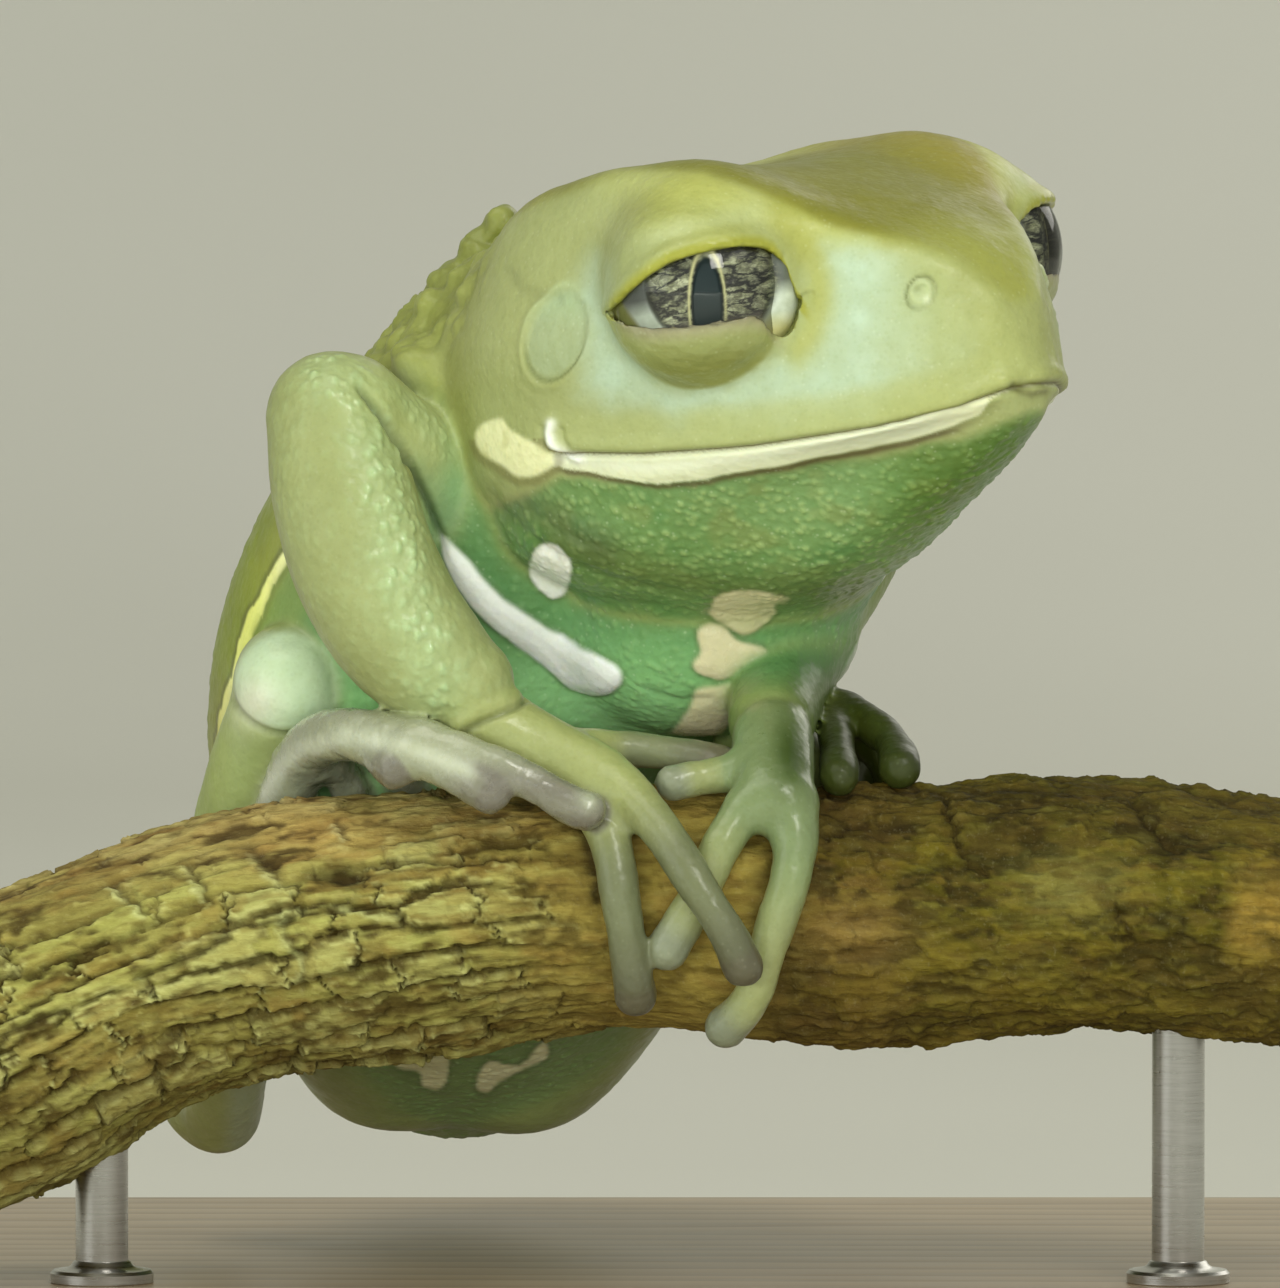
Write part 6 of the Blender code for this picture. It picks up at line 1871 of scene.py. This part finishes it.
# the rings stand upright at the saw cuts and square to the branch between them
upright = np.minimum(smooth(0, 3.0, x1 + 36.0), smooth(0, 3.0, 35.0 - x1))
slope = slope * upright
rad = r + perch_relief(x1, a1) + h * np.minimum(smooth(-0.2, 0.5, x1 + 36.0), smooth(-0.2, 0.5, 35.0 - x1)) - 0.0
dy = rad * np.cos(a1)
dzz = rad * np.sin(a1)
pp = np.stack([x1 - dzz * np.sin(slope), dy, zc + dzz * np.cos(slope)], 1)
# saw-cut ends: rings that close towards the middle, with growth-ring relief
end_rings = 22
verts = [pp]
count = len(pp)
quads_p = []
idx = np.arange(nx * na).reshape(nx, na)
k = np.arange(na)
for i in range(nx - 1):
    quads_p.append(np.stack([idx[i, k], idx[i, (k + 1) % na], idx[i + 1, (k + 1) % na], idx[i + 1, k]], 1))
end_mask = [np.zeros(len(pp))]
ring_pos = [np.zeros(len(pp))]
tris = []
for end, sign in ((0, -1), (nx - 1, 1)):
    rim = pp[idx[end]]
    centre = rim.mean(0) + np.array([0.0, 0.5, 0.3])
    prev = idx[end]
    for j in range(1, end_rings):
        f = 1 - j / end_rings
        ringp = centre + (rim - centre) * f
        groove = 0.05 * np.sin(f * 42.0 + 0.8 * np.sin(3 * aa)) + 0.03 * np.sin(ringp[:, 2] * 9.0)
        ringp = ringp + np.array([sign, 0, 0]) * (groove * smooth(0, 2, j) - 0.06 * smooth(0, 2, j))[:, None]
        verts.append(ringp)
        cur = count + k
        count += na
        if sign < 0:
            quads_p.append(np.stack([prev[k], cur[k], cur[(k + 1) % na], prev[(k + 1) % na]], 1))
        else:
            quads_p.append(np.stack([prev[k], prev[(k + 1) % na], cur[(k + 1) % na], cur[k]], 1))
        end_mask.append(np.ones(na))
        ring_pos.append(np.full(na, f))
        prev = cur
    verts.append(centre[None])
    end_mask.append(np.ones(1))
    ring_pos.append(np.zeros(1))
    for kk in range(na):
        t = (prev[kk], prev[(kk + 1) % na], count)
        tris.append(t if sign > 0 else t[::-1])
    count += 1
verts = np.vstack(verts)
quads_p = np.vstack(quads_p)
faces = [tuple(int(v) for v in q) for q in quads_p] + [tuple(int(v) for v in t) for t in tris]
pm = bpy.data.meshes.new("perch_bark")
pm.from_pydata([tuple(v) for v in world(verts)], [], faces)
pm.update()
vol_test = pm.polygons[len(quads_p) // 3]
mid_x = np.array(vol_test.center)
if (np.array(vol_test.normal) @ (mid_x - world([[mid_x[0] / MM, 0, float(perch_at(mid_x[0] / MM)[0])]])[0])) < 0:
    pm.flip_normals()
perch = bpy.data.objects.new("perch_bark", pm)
scene.collection.objects.link(perch)

BT = np.tile(rgb(140, 122, 66), (len(verts), 1))
nb = len(pp)


def bark_lay(colour, mask):
    m = np.clip(mask, 0, 1)[:, None]
    BT[:nb] = BT[:nb] * (1 - m) + rgb(*colour) * m


q = np.stack([x1, np.cos(a1) * 6.0, np.sin(a1) * 6.0], 1)
fu, fv = front(mean)
b1 = fbm(q, (5.0, 2.5, 2.5), 3, 171)
b2 = fbm(q, (2.0, 0.8, 0.8), 3, 173)
b3 = fbm(q, (1.2, 0.35, 0.35), 3, 179)
middle = 1 - np.maximum(bark["left"], bark["right"])
bark_lay((170, 164, 92), bark["left"])
bark_lay((182, 175, 104), bark["left"] * smooth(-0.1, 0.5, b1) * 0.7)
bark_lay((186, 180, 120), bark["left"] * smooth(0.60, 0.9, bark["own"]) * 0.5)
bark_lay((128, 104, 52), bark["left"] * smooth(0.1, 0.6, b2 - 0.3 * b1) * 0.6)
bark_lay((138, 122, 64), bark["left"] * smooth(0.38, 0.08, bark["own"]) * 0.65)
bark_lay((150, 128, 66), bark["left"] * smooth(0.5, 0.9, bark["own2"]) * 0.4)
bark_lay((178, 153, 76), middle * 0.9)
bark_lay((176, 142, 76), (1 - bark["right"]) * smooth(0.05, 0.5, b2) * (1 - bark["left"] * 0.5) * 0.6)
bark_lay((86, 76, 16), bark["right"] * 0.95)
bark_lay((48, 41, 6), bark["right"] * smooth(-0.1, 0.5, b1 + 0.4 * b2) * 0.9)
bark_lay((124, 108, 48), bark["right"] * smooth(0.1, 0.5, -b1 + 0.3 * b2) * 0.6)
bark_lay((120, 90, 40), bark["right"] * smooth(0.2, 0.6, b2) * 0.5)
bark_lay((34, 27, 4), bark["right"] * smooth(-0.02, -0.32, bark["scab"]) * 0.85)
bark_lay((124, 106, 34), bark["right"] * smooth(0.12, 0.42, bark["scab"]) * 0.6)
bark_lay((62, 48, 18), bark["right"] * smooth(875.0, 800.0, fv + 12.0 * b2) * near_side * 0.6)
bark_lay((168, 140, 74), bark["right"] * near_side * np.exp(-(((fu - 835.0) / 70.0) ** 2 + ((fv - 932.0) / 30.0) ** 2)) * 0.65)
bark_lay((150, 138, 80), bark["right"] * near_side * np.exp(-(((fu - 1070.0) / 50.0) ** 2 + ((fv - 885.0) / 30.0) ** 2)) * 0.7)
bark_lay((176, 140, 70), near_side * smooth(1215.0, 1245.0, fu + 8.0 * b2) * bell(fv - 920.0, 45.0) * 0.8)
bark_lay((88, 70, 34), middle * near_side * np.exp(-(((fu - 590.0) / 45.0) ** 2 + ((fv - 850.0) / 60.0) ** 2)) * 0.8)
bark_lay((186, 158, 86), near_side * np.exp(-(((fu - 330.0) / 55.0) ** 2 + ((fv - 825.0) / 22.0) ** 2)) * 0.6)
bark_lay((118, 90, 42), bark["burl"] * 0.7)
bark_lay((108, 88, 42), smooth(-0.05, -0.5, b3) * 0.55)
bark_lay((186, 172, 100), smooth(0.2, 0.6, b3) * (0.35 - 0.25 * bark["right"]))
bark_lay((120, 90, 40), smooth(-0.1, -0.6, bark["fib"]) * (0.5 - 0.3 * bark["right"]))
bark_lay((100, 84, 36), smooth(-0.1, -0.6, bark["rough"]) * 0.55)
bark_lay((66, 50, 20), smooth(0.10, 0.55, -bark["rough"] - 0.4 * bark["slow"] - 0.3 * bark["grit"]) * (0.4 + 0.4 * bark["left"]))
bark_lay((190, 180, 112), smooth(0.2, 0.7, bark["grit"] + 0.3 * bark["rough"]) * (0.06 + 0.59 * bark["left"]))
bark_lay((206, 200, 134), bark["edge"] * (0.15 + 0.85 * bark["left"]) * smooth(-0.3, 0.3, bark["grit"]) * 0.8)
# painted shade in the cracks between the bark's strips and blocks
bark_lay((60, 46, 18), bark["crack"] * 0.85)
# painted shade in the grooves beside the flakes and in the carved splits
bark_lay((54, 42, 18), bark["dark"] * 0.85)
bark_lay((206, 204, 142), bark["light"] * 0.7)
bark_lay((36, 28, 12), np.clip(bark["knot"] * 1.3, 0, 1) * 0.9)
# painted shade where the bark sinks deepest
bark_lay((70, 54, 24), smooth(-0.30, -0.8, bark["h"]) * 0.7)
# painted shade along the underside
bark_lay((92, 74, 34), smooth(0.3, -0.9, np.sin(a1)) * 0.45)
BT[:nb] *= 1 + ((1 - bark["right"]) * smooth(880.0, 940.0, fv + 0.15 * fu + 20.0 * b1))[:, None] * (np.array([1.03, 1.12, 1.02]) - 1)
BT[:nb] *= 1 + ((1 - bark["right"]) * smooth(915.0, 875.0, fv + 0.15 * fu + 20.0 * b1))[:, None] * (np.array([0.98, 0.90, 0.94]) - 1)
BT[:nb] *= 1 + (bark["right"] * smooth(880.0, 930.0, fu))[:, None] * (np.array([1.06, 1.18, 0.92]) - 1)
ends = np.concatenate(end_mask)
rp = np.concatenate(ring_pos)
wood = rgb(176, 140, 86)
wood2 = rgb(140, 102, 56)
wave = 0.5 + 0.5 * np.sin(rp * 40.0)
end_col = wood * (1 - wave)[:, None] + wood2 * wave[:, None]
end_col = np.where((rp > 0.93)[:, None], rgb(84, 66, 36), end_col)
BT = np.where(ends[:, None] > 0.5, end_col, BT)
put_colour(pm, "tone", BT)
put_value(pm, "crack", np.concatenate([bark["crack"], np.zeros(len(verts) - nb)]))
pm.shade_smooth()


def bark_material():
    m = Nodes("bark")
    tone = m.attribute("tone")
    crack = m.attribute("crack", "Fac")
    mapping = m.new("ShaderNodeMapping")
    mapping.inputs["Scale"].default_value = (0.22, 1.0, 1.0)
    m.link(m.place(), mapping.inputs["Vector"])
    fibre = m.noise(3200.0, 6.0, 0.65, 0.3, mapping.outputs[0])
    grit = m.noise(5200.0, 4.0, 0.7)
    blotch = m.noise(700.0, 4.0, 0.6)
    col = m.mix(m.range(fibre, 0.35, 0.62, 0.45, 0.0), tone, (0.42, 0.34, 0.20), "MULTIPLY")
    col = m.mix(m.range(grit, 0.56, 0.80, 0.0, 0.16), col, (0.50, 0.46, 0.28), "SCREEN")
    col = m.mix(m.range(blotch, 0.30, 0.70, 0.30, 0.0), col, (0.58, 0.50, 0.36), "MULTIPLY")
    m.link(col, m.bsdf.inputs["Base Color"])
    m.link(m.range(grit, 0.2, 0.8, 0.70, 0.95), m.bsdf.inputs["Roughness"])
    m.bsdf.inputs["Specular IOR Level"].default_value = 0.25
    n1 = m.bump(fibre, 0.8, 0.00018)
    n2 = m.bump(grit, 0.5, 0.00010, n1)
    m.link(n2, m.bsdf.inputs["Normal"])
    return m.mat


pm.materials.append(bark_material())
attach(perch, "root")
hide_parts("perch")


# =============================================================== stand
def wood_material():
    m = Nodes("stand_wood")
    mapping = m.new("ShaderNodeMapping")
    mapping.inputs["Scale"].default_value = (0.10, 1.0, 1.0)
    m.link(m.place(), mapping.inputs["Vector"])
    warp = m.noise(60.0, 3.0, 0.5, 0.0, m.place())
    wave = m.new("ShaderNodeTexWave", wave_type="BANDS", bands_direction="Y", wave_profile="SAW")
    wave.inputs["Scale"].default_value = 95.0
    wave.inputs["Distortion"].default_value = 7.0
    wave.inputs["Detail"].default_value = 3.0
    wave.inputs["Detail Scale"].default_value = 1.2
    m.link(mapping.outputs[0], wave.inputs["Vector"])
    grain = m.noise(2600.0, 5.0, 0.6, 0.0, mapping.outputs[0])
    col = m.ramp(wave.outputs["Fac"], [(0.0, (0.40, 0.29, 0.18)), (0.5, (0.52, 0.40, 0.26)),
                                       (0.9, (0.58, 0.46, 0.31)), (1.0, (0.36, 0.25, 0.15))])
    col = m.mix(m.range(grain, 0.35, 0.7, 0.55, 0.0), col, (0.45, 0.38, 0.32), "MULTIPLY")
    col = m.mix(m.range(warp, 0.35, 0.7, 0.0, 0.35), col, (0.60, 0.52, 0.46), "MULTIPLY")
    m.link(col, m.bsdf.inputs["Base Color"])
    m.link(m.range(grain, 0.3, 0.7, 0.30, 0.48), m.bsdf.inputs["Roughness"])
    m.bsdf.inputs["Coat Weight"].default_value = 0.25
    m.bsdf.inputs["Coat Roughness"].default_value = 0.25
    m.link(m.bump(grain, 0.25, 0.00008), m.bsdf.inputs["Normal"])
    return m.mat


def steel_material():
    m = Nodes("stand_steel")
    mapping = m.new("ShaderNodeMapping")
    mapping.inputs["Scale"].default_value = (0.35, 0.35, 9.0)
    m.link(m.place(), mapping.inputs["Vector"])
    brush = m.noise(900.0, 3.0, 0.6, 0.0, mapping.outputs[0])
    m.link(m.ramp(brush, [(0.3, (0.50, 0.49, 0.47)), (0.7, (0.68, 0.67, 0.65))]), m.bsdf.inputs["Base Color"])
    m.bsdf.inputs["Metallic"].default_value = 1.0
    m.link(m.range(brush, 0.3, 0.7, 0.24, 0.38), m.bsdf.inputs["Roughness"])
    m.link(m.bump(brush, 0.12, 0.00003), m.bsdf.inputs["Normal"])
    return m.mat


base = frame["nodes"]["stand_base"]
base.data.materials.clear()
base.data.materials.append(wood_material())
steel = steel_material()


def turned(name, x, profile, segments=72):
    """Body turned about an upright line at x; profile is (radius, height) in millimetres above the base's underside."""
    verts, faces = [], []
    n = segments
    for rr, hh in profile:
        for k in range(n):
            t = 2 * math.pi * k / n
            verts.append(((x + rr * math.cos(t)) * MM, (-PERCH_FORWARD + rr * math.sin(t)) * MM, hh * MM))
    for i in range(len(profile) - 1):
        for k in range(n):
            k2 = (k + 1) % n
            faces.append((i * n + k, i * n + k2, (i + 1) * n + k2, (i + 1) * n + k))
    faces.append(tuple(range(n))[::-1])
    faces.append(tuple((len(profile) - 1) * n + k for k in range(n)))
    me = bpy.data.meshes.new(name)
    me.from_pydata(verts, [], faces)
    me.update()
    me.shade_smooth()
    me.set_sharp_from_angle(angle=math.radians(40))
    ob = bpy.data.objects.new(name, me)
    scene.collection.objects.link(ob)
    me.materials.append(steel)
    return ob


for sign, tag in ((-1, "left"), (1, "right")):
    x0 = sign * 24.5
    zc0, r0 = (float(v) for v in perch_at(x0))
    top = PERCH_HEIGHT + zc0 - r0 + 1.2
    rod = turned("rod_" + tag, x0, [(1.2, 4.3), (1.2, top)])
    foot_ring = turned("rod_collar_" + tag, x0, [(1.25, 4.45), (2.25, 4.45), (2.35, 4.55), (2.35, 4.95), (2.22, 5.10),
                                                (1.60, 5.18), (1.42, 5.30), (1.30, 5.48), (1.22, 5.52)])
    for ob in (rod, foot_ring):
        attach(ob, "root")
    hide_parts("stand_rod_" + tag)

# =============================================================== floor and light
floor_pts, floor_faces = [], []
profile = [(-1.6, 0.0)] + [(0.55 + 0.35 * math.sin(t), 0.35 - 0.35 * math.cos(t))
                           for t in np.linspace(0, math.pi / 2, 24)] + [(0.9, 2.2)]
for yy, zz in profile:
    floor_pts += [(-2.5, yy, zz - 0.0002), (2.5, yy, zz - 0.0002)]
for i in range(len(profile) - 1):
    floor_faces.append((2 * i, 2 * i + 1, 2 * i + 3, 2 * i + 2))
fm = bpy.data.meshes.new("floor")
fm.from_pydata(floor_pts, [], floor_faces)
fm.update()
fm.shade_smooth()
floor = bpy.data.objects.new("floor", fm)
scene.collection.objects.link(floor)
mf = Nodes("floor")
mf.link(mf.ramp(mf.noise(9.0, 2.0, 0.5), [(0.3, (0.70, 0.69, 0.62)), (0.7, (0.73, 0.72, 0.65))]),
        mf.bsdf.inputs["Base Color"])
mf.bsdf.inputs["Roughness"].default_value = 0.9
fm.materials.append(mf.mat)

world_data = bpy.data.worlds.new("studio")
scene.world = world_data
world_data.use_nodes = True
bg = world_data.node_tree.nodes["Background"]
bg.inputs["Color"].default_value = (0.97, 1.0, 0.90, 1.0)
bg.inputs["Strength"].default_value = 0.34


def area(name, direction, distance, size, power, colour=(1.0, 1.0, 1.0), aim=(0.0, -0.014, 0.042)):
    d = unit(direction)
    la = bpy.data.lights.new(name, "AREA")
    la.shape = "RECTANGLE"
    la.size, la.size_y = size
    la.energy = power
    la.color = colour
    ob = bpy.data.objects.new(name, la)
    scene.collection.objects.link(ob)
    ob.location = Vector(aim) + Vector(d) * distance
    ob.rotation_euler = Vector(-d).to_track_quat("-Z", "Y").to_euler()
    return ob


area("key", (0.30, -0.74, 0.60), 0.60, (0.16, 0.19), 0.84, (1.0, 0.98, 0.90))
front_fill = area("front", (-0.10, -1.0, 0.05), 0.70, (0.80, 0.14), 4.2, (0.96, 1.0, 0.95))
front_fill.visible_glossy = False
area("top", (-0.35, -0.25, 0.90), 0.60, (0.45, 0.35), 0.9, (1.0, 1.0, 0.88))
area("left", (-0.85, -0.50, 0.25), 0.70, (0.40, 0.40), 0.50, (0.95, 0.98, 0.95))
area("back", (0.5, 0.80, 0.45), 0.80, (0.5, 0.4), 0.9, (1.0, 0.98, 0.90))

scene.view_settings.view_transform = "Standard"
scene.view_settings.look = "None"
scene.view_settings.exposure = 0.0
scene.view_settings.gamma = 1.0
